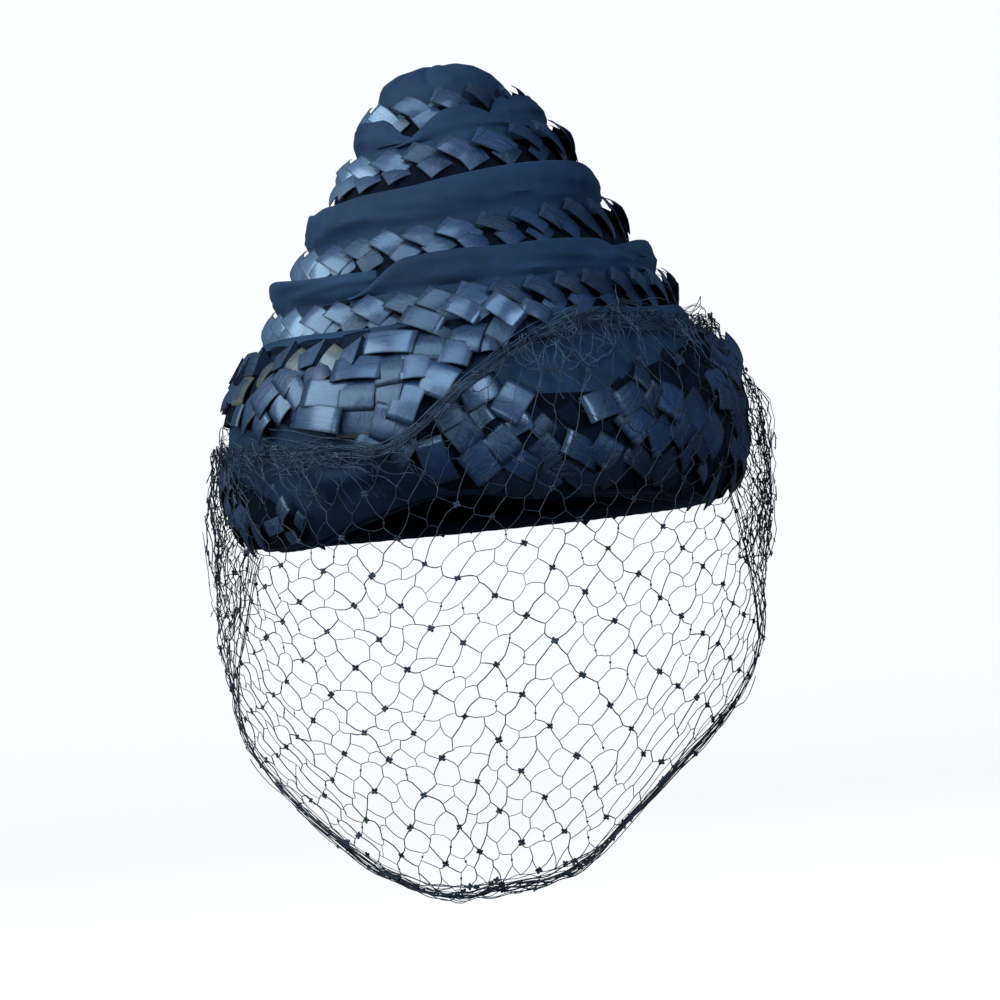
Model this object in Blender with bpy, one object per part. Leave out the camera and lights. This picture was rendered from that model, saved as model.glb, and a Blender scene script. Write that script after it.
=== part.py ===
"""A tall turban hat of the beehive kind, with a short face veil.

The crown is a stack of nested rings. Rings of plaited straw with a toothed lip alternate with plain cloth folds,
and the foot of each ring is tucked inside the ring below it. The cuff is a cloth ring that bulges round the head,
wrapped by two wide plaited straw bands that cross in front. A coarse net is gathered along that crossing and hangs
below the rim, over the face.

The origin is the middle of the head opening. +Z runs up the crown and -Y is the front of the hat.
Sizes are in millimetres until a mesh is made. Angles are in degrees from the front, towards +X.
A half width is measured along X: along Y the oval is longer by DEPTH_EXTRA.
"""

import math
from collections import namedtuple

import bmesh
import bpy
from mathutils import Vector

MM = 0.001

# Driving sizes
DEPTH_EXTRA = 16.0          # how much longer than wide the oval is on each side of the middle, at the cuff
DEPTH_ROUND_FROM = 45.0     # height where the oval starts to turn round
DEPTH_ROUND_TO = 150.0      # height where the crown is round
CLOTH_WALL = 2.0            # a doubled cloth fold
STRAW_WALL = 2.4            # a plait, two strips thick
CLEARANCE = 0.35            # between pieces that lie against each other
TOOTH_HEIGHT = 4.5          # how far the points along a braid's lip stand above the notches between them
CREASE = 0.9                # how far a strip's folded edge stands out of a braid
RIM_ARCH_TOP = 30.0         # height where the arch of the rim has died out
FRONT_DIP = 1.6             # how much lower a crown ring is at the front than at its sides
CROWN_LEAN = 2.4            # how far the middle and the tip of the crown are over to the left
CUFF_PUFF = 3.0             # how far the bare cloth of the cuff stands out between the straw bands
PUFF_FROM = 9.0             # distance from a straw band where that starts
PUFF_REACH = 15.0           # and where it is reached
RING_CLEARANCE = 0.7        # at the foot of each crown ring, in the ring below it
BAND_CLEARANCE = 1.7        # behind the straw bands, whose squares are flatter than the cloth behind them
CELL_PITCH = 16.5           # one square of the cuff's plait
LEFT_ROWS = (0.0, 0.25, 0.5, 0.75, 1.0)     # share of a band's width at the edges of its rows, from below
RIGHT_ROWS = (0.0, 0.14, 0.4, 0.7, 1.0)
CELL_RELIEF = 1.1
GATHER_WIDTH = 6.0
GATHER_THICKNESS = 2.6
BINDING_WIDTH = 5.0
BINDING_HEIGHT = 6.5
VEIL_THICKNESS = 1.0
VEIL_STRAND = 1.8
VEIL_REACH = 118.0          # angle where the veil ends behind each ear
VEIL_LEAN = 0.06            # the veil hangs plumb while the hat is worn tipped by this slope
VEIL_SHIFT = 1.0            # how far over to the right it starts
VEIL_SEAT = 1.3            # room in front of the gathered line for the straight edges of the net
VEIL_EDGE_WIDTH = 4.6

STRAW_COLOUR = (0.020, 0.026, 0.040, 1.0)
CLOTH_COLOUR = (0.010, 0.014, 0.024, 1.0)
NET_COLOUR = (0.008, 0.009, 0.012, 1.0)

# The crown's rings, from the cuff up. Heights and half widths are those of the outer face at its foot, at its
# middle and at its lip. Tilt is the rise per millimetre towards +X. Lobes ripple the lip of a cloth fold.
Ring = namedtuple(
    "Ring", "name straw tilt foot_z foot_a mid_z mid_a lip_z lip_a wall columns lobes ripple"
)
RING_ROWS = (
    Ring("fold_3",      False, 0.000,  50.0, 91.4,  63.0, 84.2,  69.5, 83.6, CLOTH_WALL, 40, 5, 0.5),
    Ring("braid_row_3", True,  0.020,  61.0, 84.0,  69.0, 80.8,  82.0, 78.0, STRAW_WALL, 58, 0, 0.0),
    Ring("fold_2",      False, 0.028,  73.0, 80.0,  82.0, 77.0,  93.0, 75.8, CLOTH_WALL, 45, 4, 0.7),
    Ring("braid_row_2", True,  0.085,  84.0, 76.0,  96.5, 65.4, 108.8, 61.2, STRAW_WALL, 50, 0, 0.0),
    Ring("fold_1",      False, 0.100,  98.0, 63.5, 108.0, 59.6, 125.5, 57.4, CLOTH_WALL, 44, 3, 0.7),
    Ring("braid_row_1", True,  0.090, 113.0, 56.5, 127.0, 47.4, 143.0, 41.8, STRAW_WALL, 40, 0, 0.0),
    Ring("tip_fold",    False, 0.085, 132.0, 43.0, 143.0, 39.0, 154.0, 34.8, CLOTH_WALL, 32, 3, 1.2),
    Ring("tip_braid",   True,  0.050, 144.0, 36.5, 151.0, 31.8, 162.0, 27.8, STRAW_WALL, 28, 0, 0.0),
)

# Cloth folds that are two strips: the front strip starts and ends over the ends of the back one.
Strip = namedtuple("Strip", "name ring start end lip_rise end_drop end_length inset curl")
STRIP_ROWS = (
    Strip("fold_2_back",    "fold_2",    52.0, 334.0, 1.5, 0.0, 20.0, 2.6, 0.0),
    Strip("fold_2_front",   "fold_2",   -36.0,  66.0, 2.6, 9.0, 22.0, 0.0, 1.5),
    Strip("tip_fold_back",  "tip_fold",  24.0, 332.0, 3.0, 6.0, 24.0, 2.6, 0.0),
    Strip("tip_fold_front", "tip_fold", -34.0,  44.0, 0.0, 9.0, 34.0, 0.0, 1.0),
)
STRIP_STEP = 8.0            # angle from one column of a strip to the next
TUCK_FROM = 22.0            # angle from a strip's end where it starts to come back out of its neighbour
TUCK_TO = 40.0

# The cuff cloth's wall, from the inner edge of its hem, round the outside, to its top, and back down the inside.
Wall = namedtuple("Wall", "z a")
CUFF_OUTER = (
    Wall(-6.5, 85.0), Wall(-7.5, 89.0), Wall(0.0, 94.8), Wall(8.0, 97.6), Wall(16.0, 99.2), Wall(25.0, 99.8),
    Wall(34.0, 99.3), Wall(42.0, 97.4), Wall(50.0, 94.2), Wall(57.0, 90.4), Wall(64.0, 87.2),
)
CUFF_INNER = (
    Wall(64.0, 85.2), Wall(46.0, 94.0), Wall(33.0, 97.5), Wall(15.0, 97.0), Wall(2.0, 93.2), Wall(-4.3, 85.0),
)
CUFF_COLUMNS = 40
CUFF_SHOULDER = Wall(72.0, 86.0)    # where the straw's line goes on above the cloth

# The two plaited bands of the cuff: their lower and upper edges at some angles.
Edge = namedtuple("Edge", "angle low high")
LEFT_BAND = (
    Edge(-240.0, 59.0, 62.0), Edge(-210.0, 53.0, 62.0), Edge(-180.0, 46.0, 62.0), Edge(-150.0, 42.0, 62.0),
    Edge(-120.0, 40.0, 62.0), Edge(-90.0, 40.5, 62.5), Edge(-63.0, 38.5, 65.0), Edge(-47.0, 36.0, 64.5),
    Edge(-36.0, 33.0, 63.5), Edge(-28.0, 28.5, 63.5), Edge(-21.0, 24.0, 64.0), Edge(-15.0, 26.0, 65.0),
    Edge(-9.0, 36.5, 66.5), Edge(-3.0, 45.5, 66.5), Edge(3.0, 53.0, 67.5), Edge(10.0, 60.5, 68.5),
    Edge(17.0, 66.0, 69.0),
)
RIGHT_BAND = (
    Edge(-15.5, 13.0, 17.0), Edge(-12.0, -1.0, 23.5), Edge(-8.0, -6.5, 27.0), Edge(-2.0, -6.5, 33.5),
    Edge(8.0, -6.5, 36.0), Edge(17.0, -6.5, 35.5), Edge(26.0, -6.5, 35.5), Edge(36.0, -6.5, 41.0),
    Edge(56.0, -6.5, 51.0), Edge(75.0, -6.5, 58.5), Edge(95.0, -6.5, 61.0), Edge(120.0, -6.5, 56.0),
    Edge(150.0, -6.5, 49.0), Edge(180.0, -6.5, 42.0), Edge(210.0, -6.5, 37.0), Edge(240.0, -6.5, 32.0),
    Edge(270.0, -6.5, 28.0), Edge(290.0, -6.5, 19.0), Edge(306.0, -6.5, 9.0), Edge(313.0, -6.5, 1.0),
)

# How far the rim is above or below its plane, by angle.
Arch = namedtuple("Arch", "angle rise")
RIM_ARCH = (
    Arch(-180.0, 0.0), Arch(-110.0, -1.0), Arch(-75.0, -3.0), Arch(-51.0, -2.5), Arch(-34.0, 3.5),
    Arch(-24.0, 7.0), Arch(-12.0, 10.5), Arch(-1.0, 10.0), Arch(11.0, 7.0), Arch(25.0, 6.0), Arch(42.0, 4.5),
    Arch(59.0, 2.0), Arch(75.0, 1.0), Arch(110.0, 0.5), Arch(180.0, 0.0),
)

# The line along which the net is bunched: height and distance out from the cuff cloth.
Knot = namedtuple("Knot", "angle z out")
GATHER_LINE = (
    Knot(-112.0, 36.0, 2.6), Knot(-90.0, 35.5, 2.6), Knot(-66.0, 33.5, 2.6), Knot(-47.0, 30.5, 2.6),
    Knot(-36.0, 27.0, 2.8), Knot(-28.0, 22.5, 3.4), Knot(-21.0, 19.0, 6.2), Knot(-15.0, 23.0, 7.6),
    Knot(-9.0, 31.5, 7.6), Knot(-3.0, 41.0, 7.6), Knot(3.0, 47.5, 6.8), Knot(10.0, 55.0, 4.6),
    Knot(18.0, 61.0, 2.8), Knot(29.0, 65.5, 2.4), Knot(42.0, 65.0, 2.6), Knot(58.0, 62.5, 2.6),
    Knot(75.0, 63.5, 3.0), Knot(90.0, 65.5, 5.0), Knot(112.0, 62.0, 6.6),
)
GATHER_STEP = 6.0

# The veil: its half width and depth by height, and the height of its lower edge by angle.
Hang = namedtuple("Hang", "z a b")
VEIL_SHAPE = (
    Hang(74.0, 95.0, 108.0), Hang(60.0, 99.5, 114.0), Hang(36.0, 108.5, 124.0), Hang(10.0, 110.0, 126.5),
    Hang(-25.0, 107.5, 126.0), Hang(-60.0, 105.0, 125.0), Hang(-90.0, 97.0, 122.0), Hang(-120.0, 80.0, 115.0),
    Hang(-150.0, 54.0, 101.0),
)
Hem = namedtuple("Hem", "angle z")
VEIL_HEM = (
    Hem(-118.0, -6.0), Hem(-108.0, -32.0), Hem(-95.0, -60.0), Hem(-80.0, -80.0), Hem(-63.0, -101.0),
    Hem(-52.0, -117.0), Hem(-40.0, -132.0), Hem(-20.0, -141.0), Hem(0.0, -140.0), Hem(18.0, -138.0),
    Hem(30.0, -132.0), Hem(38.0, -119.0), Hem(50.0, -101.0), Hem(75.0, -72.0), Hem(95.0, -48.0),
    Hem(108.0, -18.0), Hem(118.0, 10.0),
)
VEIL_CELLS_ACROSS = 12
VEIL_CELLS_DOWN = 4

# The cloth dome over the tip, above the straw ring's lip
CAP_DOME = (Wall(163.5, 24.6), Wall(167.5, 21.6), Wall(171.3, 15.5), Wall(173.7, 8.0))
CAP_TOP = 174.5
CAP_FOOT_Z = 154.0
CAP_COLUMNS = 16
CAP_FOLDS = 3
CAP_FOLD_DEPTH = 1.0


def clear_scene():
    for obj in list(bpy.data.objects):
        bpy.data.objects.remove(obj)


def eased(x, low, high):
    """0 below low, 1 above high, and a smooth step between."""
    t = min(1.0, max(0.0, (x - low) / (high - low)))
    return t * t * (3.0 - 2.0 * t)


def read_table(rows, key, value, x):
    """A column's value at x, on a smooth curve through the rows, flat beyond the first and last."""
    xs = [getattr(row, key) for row in rows]
    ys = [getattr(row, value) for row in rows]
    if xs[0] > xs[-1]:
        xs.reverse()
        ys.reverse()
    if x <= xs[0]:
        return ys[0]
    if x >= xs[-1]:
        return ys[-1]
    i = max(k for k in range(len(xs) - 1) if xs[k] <= x)

    def slope(k):
        before, after = max(k - 1, 0), min(k + 1, len(xs) - 1)
        return (ys[after] - ys[before]) / (xs[after] - xs[before])

    width = xs[i + 1] - xs[i]
    t = (x - xs[i]) / width
    return (
        ys[i] * (1 - t) ** 2 * (1 + 2 * t)
        + ys[i + 1] * t * t * (3 - 2 * t)
        + slope(i) * width * t * (1 - t) ** 2
        - slope(i + 1) * width * t * t * (1 - t)
    )


def straight(points, z):
    """The half width at a height on straight lines through (height, half width) points in rising order."""
    if z <= points[0][0]:
        return points[0][1]
    for (z0, a0), (z1, a1) in zip(points, points[1:]):
        if z <= z1:
            return a0 + (a1 - a0) * (z - z0) / (z1 - z0)
    return points[-1][1]


def on_oval(angle, a, z):
    """The point at a half width and height, on the oval of that height."""
    turn = math.radians(angle)
    depth = a + DEPTH_EXTRA * (1.0 - eased(z, DEPTH_ROUND_FROM, DEPTH_ROUND_TO))
    lean = CROWN_LEAN * (eased(z, 82.0, 96.0) - eased(z, 124.0, 134.0) + eased(z, 140.0, 158.0))
    return Vector((a * math.sin(turn) - lean, -depth * math.cos(turn), z))


def cloth_material(name, colour, roughness):
    material = bpy.data.materials.new(name)
    material.use_nodes = True
    shader = material.node_tree.nodes["Principled BSDF"]
    shader.inputs["Base Color"].default_value = colour
    shader.inputs["Roughness"].default_value = roughness
    shader.inputs["Metallic"].default_value = 0.0
    return material


def add_piece(name, bm, material):
    """Makes one named object of a closed mesh in millimetres."""
    bmesh.ops.recalc_face_normals(bm, faces=bm.faces)
    bmesh.ops.scale(bm, vec=(MM, MM, MM), verts=bm.verts)
    mesh = bpy.data.meshes.new(name)
    bm.to_mesh(mesh)
    bm.free()
    mesh.shade_smooth()
    mesh.set_sharp_from_angle(angle=math.radians(40.0))
    mesh.materials.append(material)
    obj = bpy.data.objects.new(name, mesh)
    bpy.context.scene.collection.objects.link(obj)
    return obj


def sweep_sections(sections, joined):
    """Joins closed sections, each a list of points, into a ring, or into a strip with flat ends."""
    bm = bmesh.new()
    loops = [[bm.verts.new(point) for point in section] for section in sections]
    count = len(loops[0])
    following = loops[1:] + loops[:1] if joined else loops[1:]
    for loop, after in zip(loops, following):
        for i in range(count):
            j = (i + 1) % count
            bm.faces.new((loop[i], loop[j], after[j], after[i]))
    if not joined:
        bm.faces.new(loops[0])
        bm.faces.new(loops[-1][::-1])
    return bm


# Cuff surfaces


def rim_lift(angle, z):
    """How far the arch of the rim raises a point of the cuff."""
    turned = (angle + 180.0) % 360.0 - 180.0
    rise = read_table(RIM_ARCH, "angle", "rise", turned)
    return rise * (1.0 - eased(z, CUFF_OUTER[1].z, RIM_ARCH_TOP))


def band_edges(rows, angle):
    """A straw band's lower and upper edge at an angle, or None where it doesn't reach."""
    turned = angle
    while turned < rows[0].angle:
        turned += 360.0
    while turned > rows[-1].angle:
        turned -= 360.0
    if turned < rows[0].angle:
        return None
    return read_table(rows, "angle", "low", turned), read_table(rows, "angle", "high", turned)


def bare_distance(angle, z):
    """Distance up or down from a point of the cuff, or from close beside it, to a straw band, 0 under one."""
    nearest = min(z - CUFF_OUTER[1].z, CUFF_OUTER[-1].z - z)
    for rows in (LEFT_BAND, RIGHT_BAND):
        for aside in (-9.0, 0.0, 9.0):
            edges = band_edges(rows, angle + aside)
            if edges:
                low, high = edges
                nearest = min(nearest, max(low - z, z - high))
    return max(0.0, nearest)


def cuff_puff(angle, z):
    return CUFF_PUFF * eased(bare_distance(angle, z), PUFF_FROM, PUFF_REACH)


def cuff_face(angle, z, out=0.0):
    """The point a distance out from the cuff cloth's unpuffed face."""
    a = straight([(row.z, row.a) for row in CUFF_OUTER[1:]] + [CUFF_SHOULDER], z)
    return on_oval(angle, a + out, z + rim_lift(angle, z))


def cuff_cloth_section(angle):
    outer = [(row.z, row.a + cuff_puff(angle, row.z)) for row in CUFF_OUTER]
    inner = [(row.z, row.a) for row in CUFF_INNER]
    return [on_oval(angle, a, z + rim_lift(angle, z)) for z, a in outer + inner]


def build_cuff_cloth(material):
    angles = [360.0 * i / CUFF_COLUMNS for i in range(CUFF_COLUMNS)]
    add_piece("cuff_cloth", sweep_sections([cuff_cloth_section(t) for t in angles], True), material)


def build_straw_band(name, rows, shares, material):
    """A plaited band on the cuff: a grid of squares, each with a raised middle, over a plain back."""
    start, end = rows[0].angle, rows[-1].angle
    mean_radius = CUFF_OUTER[5].a + DEPTH_EXTRA / 2.0
    steps = round(math.radians(end - start) * mean_radius / CELL_PITCH)
    bm = bmesh.new()

    def height(angle, j):
        low, high = band_edges(rows, angle)
        share = (shares[math.floor(j)] + shares[math.ceil(j)]) / 2.0
        return low + (high - low) * share

    def layer(out):
        return [
            [
                bm.verts.new(cuff_face(angle, height(angle, j), out))
                for j in range(len(shares))
            ]
            for angle in (start + (end - start) * i / steps for i in range(steps + 1))
        ]

    front = layer(BAND_CLEARANCE + STRAW_WALL)
    back = layer(BAND_CLEARANCE)
    for i in range(steps):
        for j in range(len(shares) - 1):
            corners = (front[i][j], front[i + 1][j], front[i + 1][j + 1], front[i][j + 1])
            angle = start + (end - start) * (i + 0.5) / steps
            low, high = band_edges(rows, angle)
            relief = CELL_RELIEF * min(1.0, (high - low) / 24.0)
            out = BAND_CLEARANCE + STRAW_WALL + relief
            middle = bm.verts.new(cuff_face(angle, height(angle, j + 0.5), out))
            for corner, after in zip(corners, corners[1:] + corners[:1]):
                bm.faces.new((corner, after, middle))
            bm.faces.new((back[i][j], back[i][j + 1], back[i + 1][j + 1], back[i + 1][j]))
    for i in range(steps):
        for j in (0, len(shares) - 1):
            bm.faces.new((front[i][j], back[i][j], back[i + 1][j], front[i + 1][j]))
    for j in range(len(shares) - 1):
        for i in (0, steps):
            bm.faces.new((front[i][j], front[i][j + 1], back[i][j + 1], back[i][j]))
    add_piece(name, bm, material)


def build_rim_binding(material):
    """A rolled cloth edge just inside the cuff's hem."""
    centre_a = CUFF_OUTER[0].a - CLEARANCE - BINDING_WIDTH / 2.0
    centre_z = (CUFF_OUTER[0].z + CUFF_INNER[-1].z) / 2.0
    sides = 6
    sections = []
    for i in range(CUFF_COLUMNS):
        angle = 360.0 * i / CUFF_COLUMNS
        lift = rim_lift(angle, centre_z)
        section = []
        for k in range(sides):
            roll = 2.0 * math.pi * k / sides
            a = centre_a + BINDING_WIDTH / 2.0 * math.cos(roll)
            z = centre_z + BINDING_HEIGHT / 2.0 * math.sin(roll)
            section.append(on_oval(angle, a, z + lift))
        sections.append(section)
    add_piece("rim_binding", sweep_sections(sections, True), material)


# Crown rings


def tucked(strip, angle):
    """1 at the ends of a strip, where it is pressed in under or over its neighbour, and 0 away from them."""
    inside = min((angle - strip.start) % 360.0, (strip.end - angle) % 360.0)
    outside = min((strip.start - angle) % 360.0, (angle - strip.end) % 360.0)
    return 1.0 - (eased(outside, 4.0, 20.0) if outside < inside else eased(inside, TUCK_FROM, TUCK_TO))


class CrownRing:
    """One ring of the crown, which knows its own faces and the ring that it stands in."""

    def __init__(self, row, below, strips):
        self.row = row
        self.below = below
        self.strips = strips

    def ripple(self, angle):
        return self.row.ripple * math.sin(math.radians(angle * self.row.lobes + 40.0))

    def rise(self, angle, a):
        """How far the tilt of the ring raises a point of it."""
        turn = math.radians(angle)
        return self.row.tilt * a * math.sin(turn) - FRONT_DIP * math.cos(turn)

    def lip_z(self, angle):
        """The height of the lip, at the points of its teeth where it has them."""
        row = self.row
        return row.lip_z + self.rise(angle, row.lip_a) + self.ripple(angle)

    def face(self, angle, inset=0.0):
        """(height, half width) of the outer face at its foot, middle and lip, kept inside the ring below."""
        row = self.row
        foot_z = row.foot_z + self.rise(angle, row.foot_a)
        mid_z = row.mid_z + self.rise(angle, row.mid_a)
        if not row.straw:
            mid_z = self.below.lip_z(angle)
        narrows_z = max(foot_z, self.below.narrows_z(angle))
        foot_a = min(row.foot_a, self.below.inner(angle, narrows_z) - RING_CLEARANCE)
        mid_a = row.mid_a
        if mid_z <= self.below.lip_z(angle):
            mid_a = min(mid_a, self.below.inner(angle, mid_z) - RING_CLEARANCE)
        return [(foot_z, foot_a - inset), (mid_z, mid_a - inset), (self.lip_z(angle), row.lip_a - inset)]

    def sunk(self, angle):
        """How far the ends of its strips are pressed in at an angle."""
        return max([0.0] + [strip.inset * tucked(strip, angle) for strip in self.strips])

    def inner(self, angle, z):
        """The half width of the inner face at a height."""
        wall = self.row.wall + self.sunk(angle)
        return straight([(h, a - wall) for h, a in self.face(angle)], z)

    def narrows_z(self, angle):
        """The height of the bend in the inner face, above which it hardly narrows."""
        return self.face(angle)[1][0]

    def section(self, angle, lip_shift=0.0, crease=0.0, inset=0.0, curl=0.0):
        face = self.face(angle, inset)
        foot, mid, lip = face
        lip_z = max(lip[0] + lip_shift, mid[0] + 1.0)
        lip = (lip_z, straight(face, lip_z))
        wall = self.row.wall
        if mid[0] < self.below.lip_z(angle) + 4.0:
            bulge = min(mid[1] + crease, self.below.inner(angle, mid[0]) - RING_CLEARANCE)
        else:
            bulge = mid[1] + crease
        outline = [
            foot,
            (mid[0], max(bulge, mid[1])),
            (lip[0], lip[1] + crease + curl),
            (lip[0] - 0.3, lip[1] - wall + curl),
            (mid[0], mid[1] - wall),
            (foot[0], foot[1] - wall),
        ]
        return [on_oval(angle, a, z) for z, a in outline]


class CuffTop:
    """The cuff as the seat of the lowest crown ring."""

    def lip_z(self, angle):
        return CUFF_OUTER[-1].z - 1.0

    def narrows_z(self, angle):
        return CUFF_INNER[1].z

    def inner(self, angle, z):
        return straight([(row.z, row.a) for row in reversed(CUFF_INNER)], z)


def crown_rings():
    rings = {}
    below = CuffTop()
    for row in RING_ROWS:
        below = CrownRing(row, below, [strip for strip in STRIP_ROWS if strip.ring == row.name])
        rings[row.name] = below
    return rings


def build_closed_ring(ring, material):
    """A whole ring. A straw one has a tooth on every second column, over a crease."""
    sections = []
    for i in range(ring.row.columns):
        angle = 360.0 * i / ring.row.columns
        if ring.row.straw:
            point = i % 2 == 0
            shift = 0.0 if point else -TOOTH_HEIGHT
            sections.append(ring.section(angle, shift, CREASE if point else 0.0))
        else:
            sections.append(ring.section(angle))
    add_piece(ring.row.name, sweep_sections(sections, True), material)


def build_strip(strip, ring, material):
    """Part of a cloth ring, with its ends rounded down, drawn inwards or curled out."""
    steps = round((strip.end - strip.start) / STRIP_STEP)
    sections = []
    for i in range(steps + 1):
        angle = strip.start + (strip.end - strip.start) * i / steps
        from_end = min(angle - strip.start, strip.end - angle)
        near_end = 1.0 - eased(from_end, 0.0, strip.end_length)
        shift = strip.lip_rise - (strip.end_drop + strip.lip_rise) * near_end
        inset = strip.inset * tucked(strip, angle)
        sections.append(ring.section(angle, shift, inset=inset, curl=strip.curl * near_end))
    add_piece(strip.name, sweep_sections(sections, False), material)


def build_tip_cap(tip_braid, material):
    """A gathered cloth dome whose foot is tucked inside the top straw ring."""
    bm = bmesh.new()
    loops = []
    for i in range(CAP_COLUMNS):
        angle = 360.0 * i / CAP_COLUMNS
        foot_z = CAP_FOOT_Z + tip_braid.rise(angle, tip_braid.row.mid_a)
        foot = (foot_z, tip_braid.inner(angle, foot_z) - RING_CLEARANCE)
        edge_z = tip_braid.lip_z(angle)
        edge = (edge_z, tip_braid.inner(angle, edge_z) - RING_CLEARANCE)
        fold = CAP_FOLD_DEPTH * math.sin(math.radians(angle * CAP_FOLDS))
        dome = [(row.z, row.a + fold) for row in CAP_DOME if row.z > edge_z + 1.5]
        while len(dome) < len(CAP_DOME):
            dome.insert(0, (edge_z + 1.0, edge[1]))
        outer = [foot, edge] + dome + [(CAP_TOP, 0.0)]
        inner = [(z - CLOTH_WALL * 0.5, max(0.0, a - CLOTH_WALL)) for z, a in outer[1:]]
        inner = [(foot_z, foot[1] - CLOTH_WALL)] + inner[:-1] + [(CAP_TOP - CLOTH_WALL, 0.0)]
        loops.append([on_oval(angle, a, z) for z, a in outer + inner[::-1]])
    rings = [[bm.verts.new(point) for point in loop] for loop in loops]
    count = len(rings[0])
    for loop, after in zip(rings, rings[1:] + rings[:1]):
        for i in range(count):
            j = (i + 1) % count
            if i != len(loops[0]) // 2 - 1:
                bm.faces.new((loop[i], loop[j], after[j], after[i]))
    bmesh.ops.remove_doubles(bm, verts=bm.verts, dist=0.001)
    add_piece("tip_cap", bm, material)


# The veil


def gather_point(angle, out=0.0, up=0.0):
    z = read_table(GATHER_LINE, "angle", "z", angle) + up
    return cuff_face(angle, z, read_table(GATHER_LINE, "angle", "out", angle) + out)


def bundle_section(point, upward, outward, width, thickness):
    """A flat six-sided section of bunched net."""
    section = []
    for k in range(6):
        roll = 2.0 * math.pi * k / 6
        section.append(
            point + upward * (math.cos(roll) * width / 2.0) + outward * (math.sin(roll) * thickness / 2.0)
        )
    return section


def build_gather(material):
    start, end = GATHER_LINE[0].angle, GATHER_LINE[-1].angle
    steps = round((end - start) / GATHER_STEP)
    sections = []
    for i in range(steps + 1):
        angle = start + (end - start) * i / steps
        point = gather_point(angle)
        outward = (gather_point(angle, out=1.0) - point).normalized()
        along = gather_point(angle + 0.5) - gather_point(angle - 0.5)
        upward = outward.cross(along).normalized()
        sections.append(bundle_section(point, upward, outward, GATHER_WIDTH, GATHER_THICKNESS))
    add_piece("veil_gather", sweep_sections(sections, False), material)


def veil_point(angle, z, out=0.0):
    """A point of the veil, which leans as it hangs plumb below the tipped hat."""
    turn = math.radians(angle)
    a = read_table(VEIL_SHAPE, "z", "a", z) + out
    b = read_table(VEIL_SHAPE, "z", "b", z) + out
    return Vector((a * math.sin(turn) + VEIL_SHIFT + VEIL_LEAN * min(0.0, z), -b * math.cos(turn), z))


def net_point(i, j):
    """A knot of the net: the top row lies on the gathered line and the bottom row on the lower edge."""
    angle = VEIL_REACH * (i / VEIL_CELLS_ACROSS - 1.0)
    top = gather_point(angle, out=GATHER_THICKNESS / 2.0 + VEIL_THICKNESS / 2.0 + VEIL_SEAT)
    if j == 0:
        return top
    hem = read_table(VEIL_HEM, "angle", "z", angle)
    return veil_point(angle, top.z + (hem - top.z) * j / (2 * VEIL_CELLS_DOWN))


def build_veil_net(material):
    """A sheet of diamonds, with half diamonds along its edges, each of them cut through."""
    bm = bmesh.new()
    across, down = 2 * VEIL_CELLS_ACROSS, 2 * VEIL_CELLS_DOWN
    verts = {}

    def vert(i, j):
        if (i, j) not in verts:
            verts[i, j] = bm.verts.new(net_point(i, j))
        return verts[i, j]

    for i in range(across + 1):
        for j in range(down + 1):
            if (i + j) % 2 == 0:
                continue
            left, right = max(i - 1, 0), min(i + 1, across)
            above, below = max(j - 1, 0), min(j + 1, down)
            bm.faces.new((vert(i, above), vert(right, j), vert(i, below), vert(left, j)))
    bmesh.ops.recalc_face_normals(bm, faces=bm.faces)
    made = bmesh.ops.inset_individual(
        bm, faces=list(bm.faces), thickness=VEIL_STRAND / 2.0, use_even_offset=True
    )
    frames = set(made["faces"])
    bmesh.ops.delete(bm, geom=[face for face in bm.faces if face not in frames], context="FACES")
    net = add_piece("veil_net", bm, material)
    wall = net.modifiers.new("thickness", "SOLIDIFY")
    wall.thickness = VEIL_THICKNESS * MM
    wall.offset = 0.0


def build_veil_edge(material):
    """The net bunched along its lower edge."""
    knots = [net_point(i, 2 * VEIL_CELLS_DOWN) for i in range(2 * VEIL_CELLS_ACROSS + 1)]
    sections = []
    for i, point in enumerate(knots):
        along = (knots[min(i + 1, len(knots) - 1)] - knots[max(i - 1, 0)]).normalized()
        outward = Vector((point.x, point.y, 0.0)).normalized()
        upward = outward.cross(along).normalized()
        outward = along.cross(upward)
        centre = point - upward * (VEIL_EDGE_WIDTH / 2.0 + CLEARANCE)
        sections.append(bundle_section(centre, upward, outward, VEIL_EDGE_WIDTH, VEIL_EDGE_WIDTH * 0.8))
    add_piece("veil_edge", sweep_sections(sections, False), material)


def main():
    clear_scene()
    straw = cloth_material("plaited straw", STRAW_COLOUR, 0.3)
    cloth = cloth_material("cloth", CLOTH_COLOUR, 0.75)
    net = cloth_material("net", NET_COLOUR, 0.6)
    build_cuff_cloth(cloth)
    build_straw_band("cuff_braid_left", LEFT_BAND, LEFT_ROWS, straw)
    build_straw_band("cuff_braid_right", RIGHT_BAND, RIGHT_ROWS, straw)
    build_rim_binding(cloth)
    rings = crown_rings()
    in_strips = {strip.ring for strip in STRIP_ROWS}
    for name, ring in rings.items():
        if name not in in_strips:
            build_closed_ring(ring, straw if ring.row.straw else cloth)
    for strip in STRIP_ROWS:
        build_strip(strip, rings[strip.ring], cloth)
    build_tip_cap(rings["tip_braid"], cloth)
    build_gather(net)
    build_veil_net(net)
    build_veil_edge(net)


main()
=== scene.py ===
import math
import random

import bmesh
import bpy
from mathutils import Matrix, Vector, noise


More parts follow.
